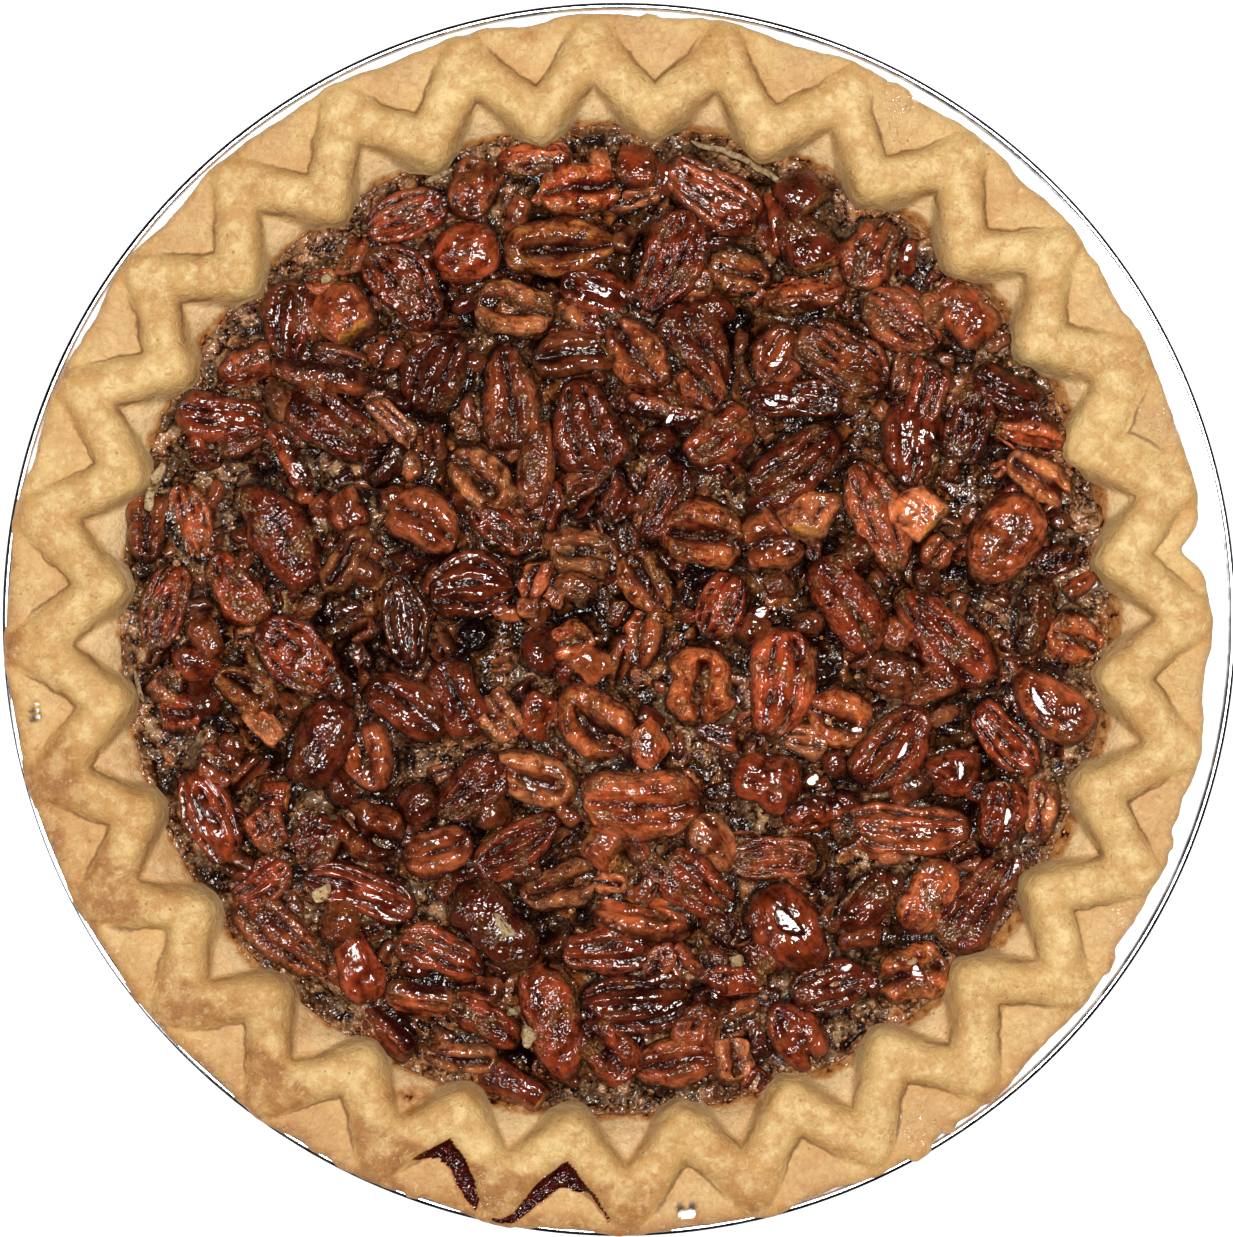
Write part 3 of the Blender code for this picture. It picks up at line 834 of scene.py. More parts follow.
# Halves between the CAD halves: kind, colour, x, y, heading, length and width. Then broken
# bits, with the same but no kind.
FURTHER = rows("""
side orange -58.7 48.8 -11 20.5 7.5 | back red -79.5 41 -6 17 9 | side red -64.6 32 -62 16.5 7
side orange -16.8 90.3 5 15 5.5 | side red 32 79.5 -80 15 6 | back red -5 65.5 -20 14 8.5
face brown 23.6 69.2 -20 13 8.5 | side orange 37.3 64 12 17 7 | side orange 9.3 41.5 -14 17.5 6.5
back red 19.5 36.5 33 15 9 | back orange 31 52.8 60 12.5 9.5 | back red 35.3 43.2 -3 19 7.5
back orange 49.9 72.8 62 15 9.5 | back red 58 34.5 88 17 9.5 | back dark 77.3 46.1 -28 14.5 7.5
side orange 81.9 37.9 -12 14 7.5 | back dark 69.6 38.5 70 16 9 | back orange -85 19.5 -75 15.5 7.5
back red -75.5 6.3 -52 17 8.5 | face tan -54.2 12.2 60 15 6.5 | face brown -74.6 -14.5 -35 14 8
back orange -49 -27 -75 14 9.5 | face tan -27.2 27.7 -40 16 9.5 | back red -23.6 18.1 -35 14.5 8
back red 8.2 23.1 65 17 9.5 | face tan -6.8 13.1 -10 14 9 | face brown 5.4 7.3 -55 14 9
back red 20.4 2.7 65 13.5 9.5 | back red -32 -15.5 -65 17 9.5 | face tan -16.5 -31.5 -18 17.5 9.5
face tan 83.2 27.7 -35 15 7.5 | side red 82.3 0.5 78 15.5 7.5 | face orange 90.9 -3.6 -20 12 9.5
face orange 43.3 -19 -20 13 11 | smooth red 66 -29.5 -10 11 8.5 | back red 75.5 -38.3 80 14 9
back dark -60.5 -43.8 60 11.5 9 | face red -49.2 -41.1 -35 13 11 | back orange -36 -45.8 18 14.5 9
back red -71 -52 30 13 9 | smooth red -52.4 -69.2 -70 15.5 8.5 | side orange -39.5 -74.5 -10 14 6
back red -27 -79.5 -33 17 7 | side red -45.4 -81.4 -50 14 6 | face tan -31 -86.5 -5 14 6
back dark -29.5 -33.5 42 17 9.5 | side orange 4.5 -59.2 -12 20 8 | back red -2.7 -65.5 3 17.5 9
side red 38.3 -37 12 13 6 | smooth dark 48.8 -56 48 15 8 | smooth orange 61 -55.1 60 16 10
back dark 42 -73.7 15 16 10 | back red 34.5 -82.5 -55 15 9.5 | back red 57 -88 20 9 6
""")
BROKEN = rows("""
orange -59.2 67.4 0 6.8 5 | orange -55.1 59.7 -50 12 9 | orange -74.3 51 25 9 6.5
brown -54.7 51.9 -15 10 4 | orange -46.1 52.9 60 6 6 | red -75.1 35.6 20 8 7
orange -84.1 35.2 0 5 5 | tan -45.1 38.8 -45 11 4 | orange -28.8 85.3 60 10 8
red 3.5 89.5 -20 9 7 | tan 4.1 83.2 15 10 3.5 | red 23.6 79.1 0 8 5
brown 15 66.5 0 8 5 | brown -8.6 51.9 3 13 7.5 | dark -7.3 57.4 20 9 5
orange 17.5 46.5 -50 9 7 | dark 36.5 85 -40 11 8 | dark 37.9 74.6 -50 14 9
tan 56 48.5 75 9 4 | red 61 46.1 75 11 7 | brown -93 18.5 85 11 6.5
orange -53.3 22.2 -70 8 6 | red -84 -8.3 -20 8 5.5 | tan -71 -21.3 -45 9 4.5
red -87.5 -18.4 0 8 6 | orange -80 -28.8 -30 8 6.5 | brown -17.3 31.5 85 15 6
dark -14 22.5 80 10 6 | tan -7.5 26.3 25 7 4.5 | red -0.7 23.2 60 6 5
brown 29.5 15.4 20 11 10 | tan 38.3 20.9 60 12 8 | tan -12.7 4.5 60 4.5 3.5
tan -17.7 2.7 0 4.5 3.5 | orange 5.4 -3.6 80 9.5 6.5 | tan -24 -19 -50 9.5 7
red -15.9 -19 80 9 6 | orange 5.9 -24.5 -70 9.5 6.5 | tan 59.2 21.3 -40 10 8.5
orange 62.8 13.8 60 6.5 5.5 | brown 54.6 -10.5 -10 10 7 | brown 62 -13.6 25 10 6
tan 36.8 -24.5 -10 8 5 | tan 84.6 -37.5 85 10 5.5 | orange -70 -41 -70 8.5 6.5
red -67.8 -35.6 0 6 5 | orange -38.2 -61.3 0 5.5 3 | orange -3.5 -45 -35 9.5 7
tan -1.4 -52.7 0 6 3.5 | brown 4.3 -53 60 8 5 | tan 18.4 -44.5 -50 10 6.5
dark 20.5 -61.5 -50 8 5 | orange 12.5 -68.5 -50 9 5.5 | red 23.8 -72 0 10.5 5.5
orange 16.3 -80.9 70 10 7 | red -2.5 -86 -50 12 8 | tan 23 -87.5 -75 8.5 6
red 27.7 -91.5 60 6 5 | red -20.6 -93 -25 12.5 5.5 | brown 24 -78.5 30 8 6
dark 28 -66 -60 9 6 | orange -10 -4 20 9 6 | orange -16 8 70 8 5 | brown -6 -9 -40 8 6
""")

# How tall a half is for its width, by kind
TALL_SHARE = {"back": 0.47, "face": 0.42, "smooth": 0.48, "side": 0.52}

# Stretches that look lighter or darker than the rest, judged in steps of 5 mm: x, y,
# size, how much lighter
TONE_STRETCHES = rows("""
-45 -5 15 -0.45 | -30 10 10 -0.3 | 45 40 10 -0.4 | 20 50 12 -0.3 | -15 40 12 -0.4
50 5 10 -0.35 | -20 -65 12 -0.45 | -40 50 10 -0.35 | 75 -5 8 -0.25 | -10 85 10 0.5
5 -20 15 0.3 | 30 -15 8 0.4 | 60 20 8 0.3 | 50 -40 8 0.3 | 85 35 8 0.35
-70 -25 10 0.2 | 60 -70 6 0.3 | 40 55 6 0.3 | 20 90 8 0.35 | 85 -15 6 0.25
""")


def toned(x, y):
    """How much lighter or darker than usual a place in the filling is, as a factor"""
    total = 1.0
    for at_x, at_y, size, lighter in TONE_STRETCHES:
        total = total + lighter * bell(np.hypot(x - at_x, y - at_y), size)
    return total


def filling_height(x, y):
    """Height of the filling's smooth dome, before its lumps and pits"""
    return FILL_EDGE_Z + FILL_DOME * (1.0 - (x * x + y * y) / FILL_R ** 2)


def half_nut(rng, kind, length, width, height, stations, around):
    """A pecan half along x, resting on z = 0. Returns points [station, around, xyz] and looks."""
    # u is -1 to 1 along the half, v is -1 to 1 across it, s is 0 to 1 up or down, and t is
    # the turn round it. The offset gives each half its own part of the noise.
    tilt, t = round_lattice(stations, around)
    u = -np.cos(tilt)
    offset = rng.uniform(0.0, 997.0)

    def wave(lowest, highest, more=0.0):
        return np.sin(u * rng.uniform(lowest, highest) + more + rng.uniform(0, 6))

    blunt = np.where(u > 0.0, rng.uniform(1.7, 4.2), rng.uniform(1.7, 4.2))
    outline = (1.0 - np.abs(u) ** blunt) ** 0.52 * (1.0 + rng.uniform(-0.2, 0.2) * u)
    waist = np.where(np.cos(t) > 0.0, rng.uniform(0.02, 0.12), rng.uniform(0.02, 0.12))
    outline *= 1.0 + waist * wave(3.0, 5.5)
    rise = (1.0 - np.abs(u) ** 3.4) ** 0.5
    v = np.sign(np.cos(t)) * np.abs(np.cos(t)) ** 0.9
    s = np.abs(np.sin(t)) ** 0.75
    upper = np.sin(t) > 0.0
    raw = np.zeros_like(u)

    # Dark lines run the length of a half, and the flesh bulges round between them. On its
    # flat face there is one wide channel, with two fat lobes that meet at one end.
    face = kind == "face"
    if face:
        lines, lobe, deep = [rng.uniform(-0.08, 0.08)], 0.42, 0.66
        channel = 0.14 + 0.07 * wave(2.0, 4.0)
    elif kind == "smooth":
        lines, channel, lobe, deep = [rng.uniform(-0.45, 0.45)], 0.0, 0.16, 0.24
    else:
        lines, lobe = rng.choice((([0.0], 0.5), ([-0.34, 0.34], 0.34), ([-0.34, 0.34], 0.34),
                                  ([-0.56, 0.0, 0.56], 0.28), ([-0.62, -0.2, 0.22, 0.62], 0.21)))
        channel, deep = 0.015, 0.66
    valley = np.zeros_like(u)
    for line in lines:
        path = (line + rng.uniform(-0.05, 0.05)) * (1.0 - 0.2 * u * u)
        path = path + 0.06 * wave(2.5, 5.0)
        away = np.clip((np.abs(v - path) - channel) / lobe, 0.0, 1.0)
        tube = np.sqrt(1.0 - (1.0 - away) ** 2)
        start = rng.uniform(-1.2 if face else -1.1, -0.85)
        end = rng.uniform(0.6 if face else 0.8, 1.05)
        ends = ease(start, start + 0.22, u) * ease(end, end - 0.22, u)
        valley = np.maximum(valley, rng.uniform(0.85, 1.15) * ends * (1.0 - tube) * deep)
    cut = np.clip(valley, 0.0, 0.85) * upper
    raised = 0.06 * wave(9, 15, 3.5 * v) * ease(0.1, 0.5, np.abs(v))
    if face:
        rib = bell(v - lines[0], 0.06) * ease(0.9, 0.4, np.abs(u))
        raised = raised * 2.0 + 0.3 * rib
        raw = ease(0.5, 0.15, cut) * 0.35 * upper
    x = 0.5 * length * u
    y = 0.5 * width * outline * v + rng.uniform(-0.07, 0.07) * length * (1.0 - u * u)
    top = rise * s * (1.0 + raised) * (1.0 - cut)
    z = height * np.where(upper, top, -0.22 * rise * s)
    grid = np.stack([x, y, z], axis=2)
    outward = np.stack([0.45 * u, v, np.where(upper, s, -s)], axis=2)
    flat = grid.reshape(-1, 3) + offset
    wrinkle = fractal(flat * (0.6, 1.0, 1.0), 1.9, 82, 2)
    lump = 0.075 * width * fractal(flat, width * 0.5, 81) + 0.2 * wrinkle
    wrinkle = wrinkle.reshape(u.shape)
    grid = grid + outward * lump.reshape(*u.shape, 1)
    # groove, low, dip and crest carry painted shade in the grooves, on the low sides and in the
    # wrinkles' dips, and painted light on the wrinkles' crests
    looks = {"groove": ease(0.34, 0.8, cut / deep), "raw": raw, "low": ease(1.05, 0.2, z / height),
             "rim": ease(0.35, 0.85, np.abs(v)) * 0.8 + 0.4 * ease(0.8, 1.0, abs(u)),
             "skin": np.full(u.shape, rng.uniform(0.25, 1.0)),
             "dip": ease(-0.05, -0.6, wrinkle), "crest": ease(0.15, 0.7, wrinkle),
             "along": x + offset, "across": 0.5 * width * t + offset}
    return grid, looks


def broken_nut(rng, length, width, height, stations, around):
    """A bit of a pecan: part of a half, snapped across, with its pale inside at the break"""
    grid, looks = half_nut(rng, rng.choice(("back", "face", "smooth")), length * 1.25,
                           width * 1.1, height, stations, around)
    flat = grid.reshape(-1, 3)
    raw = looks["raw"] * 0.5
    seed = rng.uniform(0, 900)
    for side in (-1.0, 1.0):
        if side > 0.0 or rng.random() < 0.6:
            tilt = rng.uniform(-0.5, 0.5)
            lean = rng.uniform(-0.2, 0.6)
            limit = length * rng.uniform(0.4, 0.5) + 0.75 * fractal(flat + seed, 2.6, 91)
            over = side * grid[:, :, 0] + tilt * grid[:, :, 1] + lean * grid[:, :, 2]
            over = over - limit.reshape(over.shape)
            grid[:, :, 0] -= side * np.clip(over, 0.0, None) * 0.88
            raw = np.maximum(raw, ease(0.0, 0.9, over) * rng.uniform(0.15, 0.7))
    looks["raw"] = raw
    return grid, looks


def closed_body(grid):
    """Adds the two end points, and returns the points and faces of the closed body"""
    ends = [grid[0].mean(axis=0), grid[-1].mean(axis=0)]
    ends[0][0] = grid[0, :, 0].min() - 0.05
    ends[1][0] = grid[-1, :, 0].max() + 0.05
    return np.concatenate([grid.reshape(-1, 3), ends]), closed_faces(*grid.shape[:2])


def settle(points, x, y, heading, lift, roll, pitch=0.0):
    """Turns a nut, and lays it on the filling's dome"""
    points = points.copy()
    rotate(points, [1, 2], roll)
    rotate(points, [0, 2], pitch)
    rotate(points, [0, 1], math.radians(heading))
    points[:, :2] += (x, y)
    points[:, 2] += filling_height(points[:, 0], points[:, 1]) + lift
    return points


def laid(grid, looks, x, y, heading, lift, roll, pitch, tint):
    """A nut laid in its place: its points, its faces, and its looks with its own brightness"""
    points, faces = closed_body(grid)
    values = {key: np.append(v, [v[0].mean(), v[-1].mean()]) for key, v in looks.items()}
    values["tint"] = np.full(len(points), tint * toned(x, y))
    return settle(points, x, y, heading, lift, roll, pitch), faces, values


def cad_nuts():
    """Each CAD half's name, kind, colour slot, place, heading, length, width and height"""
    slots = {s["node"]: s["material_slot"] for s in frame["record"]["subparts"]}
    for name in sorted(n for n in frame["nodes"] if n.startswith("pecan_")):
        points = np.array([v.co for v in frame["nodes"][name].data.vertices]) / MM
        flat = points[:, :2]
        spread = flat - flat.mean(axis=0)
        long_way = np.linalg.eigh(spread.T @ spread)[1][:, 1]
        ways = np.array([long_way, (-long_way[1], long_way[0])])
        ends = np.array([[(flat @ way).min(), (flat @ way).max()] for way in ways])
        length, width = ends[:, 1] - ends[:, 0]
        x, y = (float(place) for place in (ends.sum(axis=1) / 2.0) @ ways)
        heading = math.degrees(math.atan2(long_way[1], long_way[0]))
        tall = points[:, 2].max() - filling_height(x, y) - 0.25
        yield name, name.split("_")[1], slots[name], x, y, heading, length, width, tall


# ---- filling


def footprint(nuts, xy):
    """Distance in mm from each point out to the nearest nut's outline, below 0 under a nut"""
    nearest = np.full(len(xy), 9.0)
    for x, y, heading, length, width in nuts:
        close = np.abs(xy - (x, y)).max(axis=1) < length * 0.5 + 6.0
        offset = xy[close] - (x, y)
        turn = math.radians(heading)
        along = offset @ (math.cos(turn), math.sin(turn))
        across = offset @ (-math.sin(turn), math.cos(turn))
        scaled = np.hypot(along / (length * 0.5), across / (width * 0.5))
        out = (scaled - 1.0) * np.hypot(along, across) / np.maximum(scaled, 1e-6)
        nearest[close] = np.minimum(nearest[close], out)
    return nearest


# Places where the caramel has sunk to a near-black pit, and where it is all froth: x, y, size
PITS = rows("""
-66.9 42 3 | -3.5 -8 4 | -10.5 -15 3.5 | 71.5 -27.5 4 | 16.5 -2.5 3 | -42.5 -61.3 3 | -29 -3 4
1 75 3 | -15 66.5 4 | 23 57 4 | -52 -8 5 | -33 -9 5 | -20 -88 4 | 22 -89 4 | -45 -5 4
24.5 60 3 | 2.5 -45 3 | -1 29 3 | 38 -3 3 | 52 -31 3 | -21 46 2.5 | 12 84 2.5 | -59 -31 2.5
""")
FROTHY = rows("""
-75 58 7 | 57 72 9 | 92 22 5 | 74 4 5 | -76 16 7 | -93 -25 6 | 0 -96 12 | -28 -86 8 | 45 -85 8
-88 0 7 | 88 -30 6 | -60 -62 7 | -80 -40 9 | -55 -45 8 | -65 -10 8 | -85 15 8 | -70 0 7
-45 -62 6
""")


def bay_radius(turn):
    """How far out the caramel lies at a bearing, just inside the CAD filling's edge"""
    return round_the_pie(fill_radius, turn) - 0.45


def round_grid(across):
    """A square grid drawn out to a disc: each point's radius from 0 to 1, and its bearing"""
    line = np.linspace(-1.0, 1.0, across)
    a, b = (part.ravel() for part in np.meshgrid(line, line, indexing="ij"))
    wide = np.abs(a) > np.abs(b)
    radius = np.where(wide, a, b)
    safe = np.where(radius == 0.0, 1.0, radius)
    turn = np.where(wide, math.pi / 4.0 * b / safe, math.pi / 2.0 - math.pi / 4.0 * a / safe)
    return np.abs(radius), np.where(radius < 0.0, turn + math.pi, turn)


def make_filling(material, nuts):
    across = 286
    radius, turn = round_grid(across)
    bay = bay_radius(turn)
    reach = radius * (FILL_R + (bay - FILL_R) * radius ** 6)
    flat = polar(reach, turn)

    # Caramel sinks in pits and between the nuts, and froths elsewhere and along the crust.
    from_edge = bay - reach
    gap = footprint(nuts, flat)
    pit = ease(0.35, 0.75, spots(PITS, flat) + 0.25 * fractal(flat, 5.0, 100))
    sink = ease(0.25, 0.9, fractal(flat, 7.0, 101)) * ease(0.5, 1.8, gap) * 0.8
    sink = np.maximum(sink, pit) * ease(1.0, 5.0, from_edge)
    froth = ease(-0.45, 0.3, fractal(flat, 14.0, 103)) + spots(FROTHY, flat)
    froth = np.clip(froth, 0.0, 1.0) * (1.0 - 0.9 * sink)
    froth *= np.clip(toned(flat[:, 0], flat[:, 1]), 0.3, 1.3)
    froth = np.clip(froth + 0.8 * ease(8.0, 1.0, from_edge), 0.0, 1.0)

    # It's lumpy, climbs the nuts' sides, and rises a little where it meets the crust.
    big = bubbles(flat, 3.2, 104, 0.3)
    mid = bubbles(flat, 1.6, 108, 0.7)
    relief = 1.1 * fractal(flat, 5.0, 112) + 0.34 * fractal(flat, 1.7, 113, 2)
    relief += (0.9 * big + 0.6 * mid) * (0.45 + 0.55 * froth) * (1.0 - 0.5 * sink) - 0.35
    height = filling_height(flat[:, 0], flat[:, 1]) - 0.2
    height += relief + CLIMB * ease(2.6, -0.3, gap) - PIT_DEPTH * sink
    level = ease(0.0, 0.6, from_edge)
    height = height * level + (FILL_EDGE_Z + 0.1) * (1.0 - level) + 0.9 * ease(2.2, 0.0, from_edge)

    # It's painted darker where it lies low or has sunk, partly the bare caramel's own colour and partly
    # painted shade in the hollows, with painted shadow beside a nut; it's amber where it is thin by the
    # crust.
    deep = np.maximum(ease(0.1, -0.85, relief), ease(0.1, 0.8, sink))
    # Painted shadow in a ring beside each nut's outline
    beside = ease(1.7, 0.3, np.abs(gap - 0.2)) * ease(-0.8, 0.1, fractal(flat, 8.0, 115))
    deep = np.maximum(deep, beside * ease(2.5, 6.5, from_edge))
    amber = 0.4 * ease(2.4, 0.4, from_edge + noise(flat, 5.0, 114))

    # The grid's outline goes down to the crust's floor in two rings and a fan.
    order = np.arange(across)
    rim = np.concatenate([order[:-1] * across, (across - 1) * across + order[:-1],
                          order[:0:-1] * across + across - 1, order[:0:-1]])
    rim_turn = np.arctan2(flat[rim, 1], flat[rim, 0])
    edge = round_the_pie(fill_radius, rim_turn)
    base_z = PAN_FOIL + 2.0 * SEAM + DOUGH
    count, around = len(flat), len(rim)
    points = np.concatenate([np.column_stack([flat, height]), polar(edge - 2.15, rim_turn, SKIRT_Z),
                             polar(PAN_BASE_R - DOUGH - 0.5, rim_turn, base_z), [[0, 0, base_z]]])
    index = np.arange(count).reshape(across, across)
    quads = np.stack([index[:-1, :-1], index[1:, :-1], index[1:, 1:], index[:-1, 1:]], axis=2)
    column = np.arange(around)
    after = (column + 1) % around
    faces = [quads.reshape(-1, 4),
             np.stack([rim, count + column, count + after, rim[after]], axis=1),
             ring_faces(2, around)[:, ::-1] + count,
             fan_faces(count + 2 * around, count + around, around, True)]
    looks = {"froth": froth, "edge": amber, "bubble": np.maximum(big, mid), "deep": deep}
    looks = {key: np.pad(values, (0, len(points) - count)) for key, values in looks.items()}
    new_piece("caramel_filling", points, faces, material, looks, "caramel", "filling")
    return flat, height, gap


# ---- small things


def ball(stations, around):
    tilt, turn = round_lattice(stations, around)
    grid = [-np.cos(tilt), np.sin(tilt) * np.cos(turn), np.sin(tilt) * np.sin(turn)]
    return closed_body(np.stack(grid, axis=2))


def make_bubbles(material, flat, height, gap):
    """Domes of froth: a few all over, and crowds of them in froth and along the crust"""
    rng = random.Random(301)
    picked = np.random.default_rng(301).permutation(len(flat))
    inside = bay_radius(np.arctan2(flat[:, 1], flat[:, 0])) - np.linalg.norm(flat, axis=1)
    crowd = np.maximum(spots(FROTHY, flat), ease(9.0, 4.0, inside))
    shape, faces = ball(4, 8)
    batch = Batch()
    for spot in picked:
        if inside[spot] < 1.0 or gap[spot] < -0.4 or gap[spot] > 5.0:
            continue
        if rng.random() > 0.1 + 0.9 * crowd[spot]:
            continue
        size = 0.25 + 0.65 * rng.random() ** 2
        points = shape * (size, size, size * 0.8)
        points = points + (*flat[spot], height[spot] + size * 0.15)
        looks = {"froth": rng.uniform(0.3, 1.0), "bubble": rng.random() * 0.7, "edge": 0.0, "deep": 0.0}
        batch.add(points, faces, {key: np.full(len(points), v) for key, v in looks.items()})
        if len(batch.points) == BUBBLES:
            break
    batch.piece("caramel_bubbles", material, "caramel")


def make_nuts(looks):
    """Every nut on the filling; returns their outlines"""
    outlines = []
    for name, kind, slot, x, y, heading, length, width, tall in cad_nuts():
        rng = random.Random(name)
        grid, values = half_nut(rng, kind, length * 1.04, width * 1.1, tall, 46, 40)
        points, faces, values = laid(grid, values, x, y, heading, 0.1, rng.uniform(-0.08, 0.08),
                                     0.0, rng.uniform(0.75, 1.18))
        new_piece("glazed_" + name, points, faces, looks[slot], values, slot, name)
        outlines.append((x, y, heading, length, width))
    halves, broken = TonedBatch(), TonedBatch()
    for number, (kind, tone, x, y, heading, length, width) in enumerate(FURTHER):
        rng = random.Random(4000 + number)
        side = kind == "side"
        roll = rng.choice((-1, 1)) * rng.uniform(0.7, 1.0) if side else 0.0
        roll += rng.uniform(-0.2, 0.2)
        wide = width * (1.25 if side else 1.12)
        grid, values = half_nut(rng, "back" if side else kind, length * 1.06, wide,
                                max(4.6, TALL_SHARE[kind] * wide), 36, 32)
        halves.add(tone, *laid(grid, values, x, y, heading, rng.uniform(-0.9, 0.3), roll,
                               rng.uniform(-0.1, 0.1), rng.uniform(0.65, 1.15)))
        outlines.append((x, y, heading, length, width))
    for number, (tone, x, y, heading, length, width) in enumerate(BROKEN):
        rng = random.Random(5000 + number)
        grid, values = broken_nut(rng, length * 1.12, width * 1.18, max(3.6, 0.62 * width), 26, 24)
        broken.add(tone, *laid(grid, values, x, y, heading, rng.uniform(-0.5, 0.8),
                               rng.uniform(-0.4, 0.4), rng.uniform(-0.25, 0.25),
                               rng.uniform(0.68, 1.2)))
        outlines.append((x, y, heading, length, width))
    halves.pieces("further_halves", looks)
    broken.pieces("broken_nuts", looks)
    return outlines


def make_fragments(looks, outlines):
    """Small bits of nut in the gaps, half sunk in the caramel"""
    rng = random.Random(601)
    fragments = TonedBatch()
    placed = []
    tries = np.random.default_rng(602).uniform(-94, 94, (14000, 2))
    gap = footprint(outlines, tries)
    for (x, y), out, reach in zip(tries, gap, np.linalg.norm(tries, axis=1)):
        if reach > 93.0 or out < -0.3 or len(placed) > FRAGMENTS:
            continue
        length = rng.uniform(4.0, 10.0) * (0.75 if out < 1.2 else 1.0)
        if any(math.hypot(x - px, y - py) < 0.36 * (length + other) for px, py, other in placed):
            continue
        if rng.random() < 0.2:
            continue
        tone = rng.choice(("red", "brown", "brown", "orange", "tan", "dark", "dark"))
        width = length * rng.uniform(0.45, 0.85)
        grid, values = broken_nut(rng, length, width, width * 0.7, 14, 12)
        values["raw"] = values["raw"] * 0.4
        fragments.add(tone, *laid(grid, values, x, y, rng.uniform(0, 360), rng.uniform(-1.2, 0.4),
                                  rng.uniform(-0.6, 0.6), rng.uniform(-0.4, 0.4),
                                  rng.uniform(0.45, 0.95)))
        placed.append((x, y, length))
    fragments.pieces("nut_fragments", looks)


# Smooth pools of glaze on the nuts, where the photo has its widest shines: tone, x, y,
# heading, length, width
POOLS = rows("""
dark 33.2 -59.6 -45 8.5 3.8 | red 83.4 -16.4 -58 9 2.4 | red 59.2 -70.1 -60 4.8 2.8
brown 47 -21.9 0 3 2 | brown 38.4 -31.8 40 3.6 2.8 | red 67.5 -29.9 90 5 1.6
dark 76.8 -39.1 80 4.6 1.9 | brown 78.8 -49 70 4.2 2.2 | red 45 -69 20 3.2 1.7
red 56 -25.9 60 5 1.4 | red 31 51 30 4.4 1.8 | red 30 43 -20 4 1.8 | dark 10 40 60 4 1.6
brown 28 1.5 20 3.6 3
""")


def make_pools(looks):
    """Lays each pool just over what is under it, leaning a little so that it mirrors the lamp"""
    bpy.context.view_layer.update()
    graph = bpy.context.evaluated_depsgraph_get()
    shape, faces = ball(20, 32)
    apart = np.hypot(shape[:, 0], shape[:, 1])
    pools = TonedBatch()
    for tone, x, y, heading, length, width in POOLS:
        top = 0.045 * width * (1.0 - apart ** 2) - 0.5 * ease(0.8, 1.0, apart)
        deep = np.where(shape[:, 2] > -0.02, top, -1.3)
        points = np.stack([shape[:, 0] * length / 2.0, shape[:, 1] * width / 2.0, deep], axis=1)
        points[:, 1] += 0.1 * length * (shape[:, 0] ** 2 - 0.4)
        rotate(points, [0, 1], math.radians(heading))
        points[:, :2] += (x, y)
        under = []
        for px, py in points[::12, :2] * MM:
            hit = bpy.context.scene.ray_cast(graph, (px, py, 0.06), (0.0, 0.0, -1.0))
            under.append(hit[1][2] / MM)
        points[:, 2] += np.percentile(under, 70) + 0.35
        points[:, 2] -= 0.015 * (points[:, 0] - x) + 0.055 * (points[:, 1] - y)
        flat = np.zeros(len(points))
        values = {key: flat for key in ("groove", "raw", "low", "rim")}
        values.update(skin=flat + 0.13, along=points[:, 0], across=points[:, 1], tint=flat + 0.75)
        pools.add(tone, points, faces, values)
    pools.pieces("glaze_pools", looks)


# Thin peeled skins of dough by the filling's edge: start and end bearing, radius at each,
# half width
SKINS = rows("""
68.5 81.5 92.6 96.2 0.65 | 110.5 114 94.6 95.2 0.6 | 151.5 154 95.2 94.8 0.5
162 166.5 95.6 95.6 0.5 | 186 190 97 96.4 0.5
""")


def make_skins(material):
    batch = Batch()
    around = np.linspace(0.0, 2.0 * math.pi, 10, endpoint=False)
    for number, (start, end, first, last, half) in enumerate(SKINS):
        part = np.linspace(0.0, 1.0, 10 + int(4.0 * (end - start)))[:, None]
        turn = np.radians(start + (end - start) * part)
        radius = first + (last - first) * part
        path = polar(radius, turn)[:, 0]
        sway = 1.1 * fractal(path + 40.0 * number, 7.0, 96)[:, None]
        thick = half * np.sqrt(1.0 - (2.0 * part - 1.0) ** 4 * 0.96)
        height = FILL_EDGE_Z + 1.9 + 0.5 * sway + 0.55 * thick * np.sin(around)
        grid = polar(radius + sway + thick * np.cos(around), turn, height)
        points, faces = closed_body(grid)
        points[-2:] = [grid[0].mean(axis=0), grid[-1].mean(axis=0)]
        batch.add(points, faces, {"tint": np.full(len(points), 0.5)})
    batch.piece("peeled_skins", material, "dough")


# Bare chips and flakes: x, y, heading, length, width, brightness
CHIPS = rows("""
-59 -54.2 20 3.8 2.8 0.82 | -22.9 -61 -55 5.4 2.9 0.62 | -18.1 -82.3 80 4 2.9 0.68
-21.1 -77.6 0 2.2 1.6 0.5 | 23 -67.5 10 3 2.2 0.65 | 58 -67.5 30 1.8 1.2 0.75
-58 67.4 40 2.4 1.7 0.65 | -91 29 60 4 2 0.7 | -93 24 80 4.4 1.8 0.7
""")


def make_chips(material):
    batch = Batch()
    for number, (x, y, heading, length, width, tint) in enumerate(CHIPS):
        rng = random.Random(7000 + number)
        points, faces = closed_body(broken_nut(rng, length, width, 1.1, 20, 18)[0])
        points = points * (1.0 + 0.22 * fractal(points + 9.0 * number, 1.3, 95)[:, None])
        points = settle(points, x, y, heading, 4.6, rng.uniform(-0.2, 0.2))
        batch.add(points, faces, {"tint": np.full(len(points), tint)})
    batch.piece("pale_chips", material, "pecan_tan")


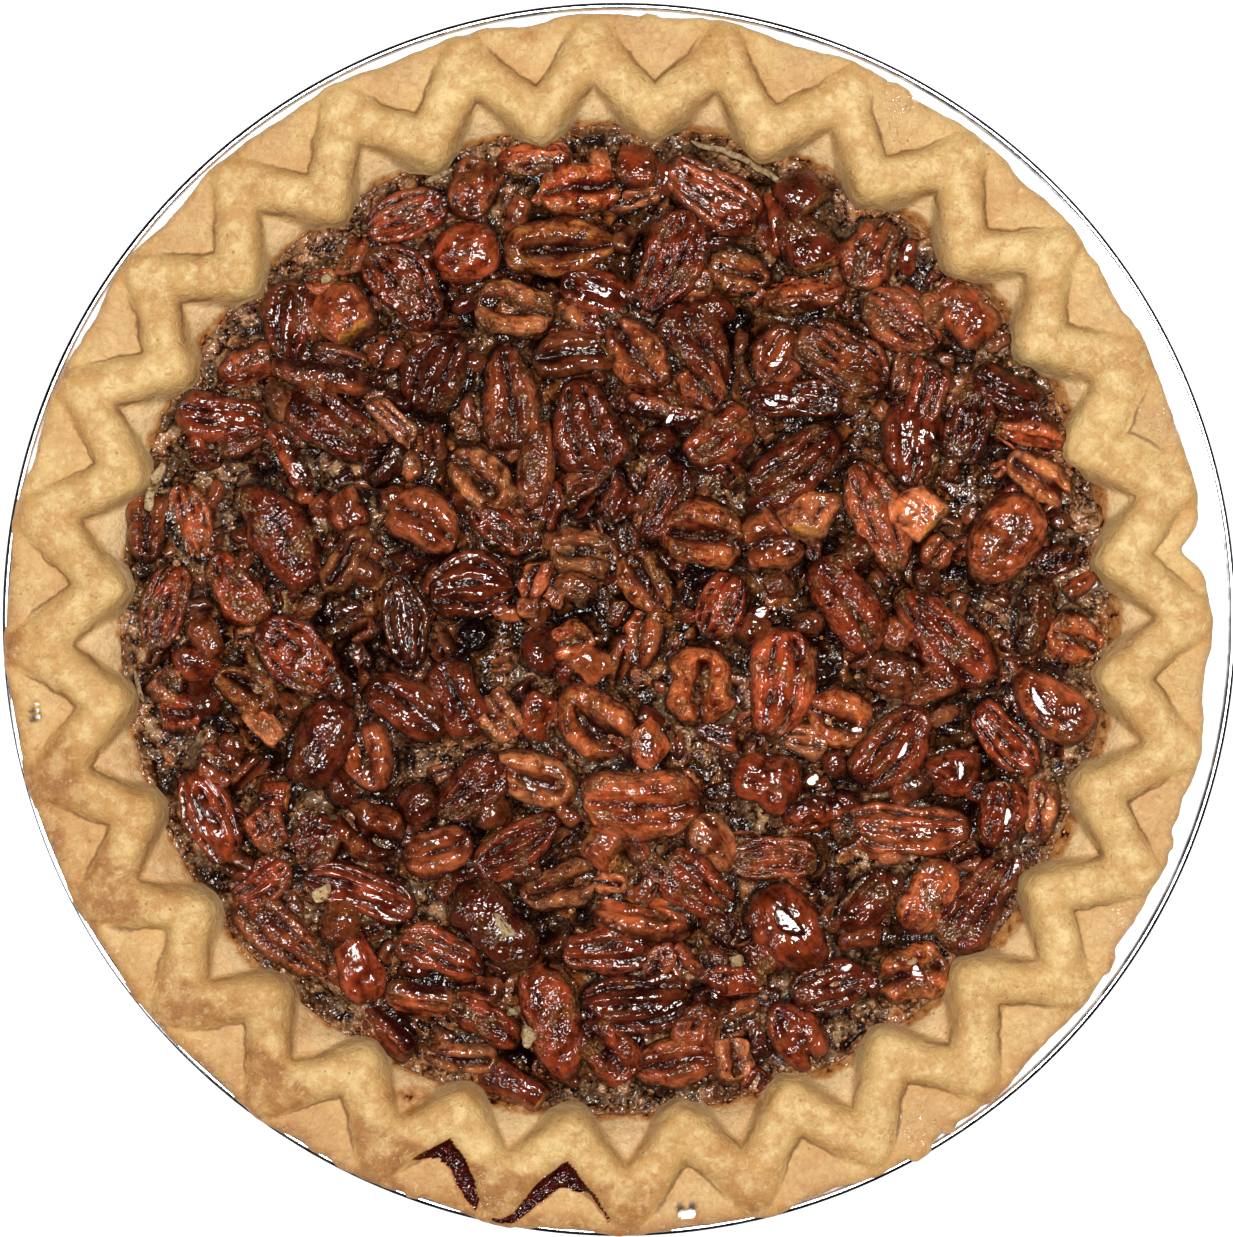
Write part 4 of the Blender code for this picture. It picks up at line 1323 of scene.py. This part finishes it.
def make_pan(material):
    columns = 252
    turn = 2.0 * math.pi * np.arange(columns) / columns
    bead_at, bead_z = PAN_OUT_R - BEAD_R, PAN_FLANGE_Z - BEAD_R + 0.5
    flange_under = PAN_FLANGE_Z - PAN_FOIL
    outside = [(PAN_BASE_R - 3.0, 0.0), (PAN_BASE_R - 0.8, 0.25), (PAN_BASE_R + 0.6, 1.3),
               (PAN_WALL_R - 1.2, flange_under - 2.2), (PAN_WALL_R + 0.4, flange_under - 0.25),
               (PAN_WALL_R + 1.6, flange_under), (bead_at - BEAD_R + 0.1, flange_under)]
    bead = [(bead_at + BEAD_R * math.cos(tilt), bead_z + BEAD_R * math.sin(tilt))
            for tilt in (math.radians(215.0 + 27.5 * index) for index in range(11))]
    inside = [(bead_at - BEAD_R - 0.3, PAN_FLANGE_Z), (PAN_WALL_R, PAN_FLANGE_Z),
              (PAN_WALL_R - 0.9, PAN_FLANGE_Z - 0.6), (PAN_BASE_R, 1.6),
              (PAN_BASE_R - 1.4, PAN_FOIL + 0.2), (PAN_BASE_R - 3.0, PAN_FOIL)]
    section = outside + bead + inside
    points = np.concatenate([polar(r, turn, z) for r, z in section]
                            + [[[0, 0, 0]], [[0, 0, PAN_FOIL]]])
    on_bead = np.zeros(len(points))
    on_bead[len(outside) * columns:(len(outside) + len(bead)) * columns] = 1.0
    new_piece("foil_pan", points, closed_faces(len(section), columns), material,
              {"bead": on_bead}, "foil", "pie_pan")


# ---- stage

# Lamps: bearing in degrees, how far out and how high in metres, disc size, power in watts
LAMPS = [(35.0, 0.17, 1.25, 0.5, 17.8), (205.0, 0.8, 0.95, 0.4, 3.5)]


def make_stage():
    bpy.ops.mesh.primitive_plane_add(size=6.0, location=(0.0, 0.0, -0.0002))
    floor = bpy.context.object
    floor.name = "floor"
    look = Look("plain_floor", (0.93, 0.93, 0.93), Emission_Color=(1.0, 1.0, 1.0, 1.0),
                Emission_Strength=0.35)
    look.paint(look.grain(60.0, 2.0), (0.95, 0.95, 0.95))
    roughness = look.span(look.grain(30.0), 0.0, 1.0, 0.8, 0.9)
    floor.data.materials.append(look.finish(Roughness=roughness))

    world = bpy.data.worlds.new("studio")
    bpy.context.scene.world = world
    world.use_nodes = True
    sky = Network(world.node_tree)
    split = sky.node("ShaderNodeSeparateXYZ", {0: sky.spot["Generated"]})
    strength = sky.span(split.outputs["Z"], 0.0, 0.8, 0.02, 0.045)
    sky.tree.links.new(strength, sky.tree.nodes["Background"].inputs["Strength"])

    for index, (around, out, high, size, power) in enumerate(LAMPS):
        data = bpy.data.lights.new("soft_%d" % index, "AREA")
        data.shape = "DISK"
        data.size = size
        data.energy = power
        item = bpy.data.objects.new(data.name, data)
        bpy.context.scene.collection.objects.link(item)
        item.location = polar(out, math.radians(around), high)
        aim = Vector((0.0, 0.0, 0.02)) - item.location
        item.rotation_euler = aim.to_track_quat("-Z", "Y").to_euler()

    camera = bpy.data.objects.new("camera", bpy.data.cameras.new("camera"))
    bpy.context.scene.collection.objects.link(camera)
    camera.location = (-0.00055, 0.00018, CAMERA_Z)
    camera.data.sensor_fit = "VERTICAL"
    camera.data.angle_y = 2.0 * math.atan(HALF_VIEW / (CAMERA_Z - PAN_FLANGE_Z * MM))
    bpy.context.scene.camera = camera
    bpy.context.scene.view_settings.view_transform = "Standard"


def main():
    looks = {name: nut_look(name, tone) for name, tone in TONES.items()}
    caramel = caramel_look()
    make_pan(foil_look())
    make_crust(dough_look())
    outlines = make_nuts(looks)
    flat, height, gap = make_filling(caramel, outlines)
    make_bubbles(caramel, flat, height, gap)
    make_fragments(looks, outlines)
    make_pools(looks)
    crumb = crumb_look()
    make_skins(crumb)
    make_chips(crumb)
    make_stage()


main()
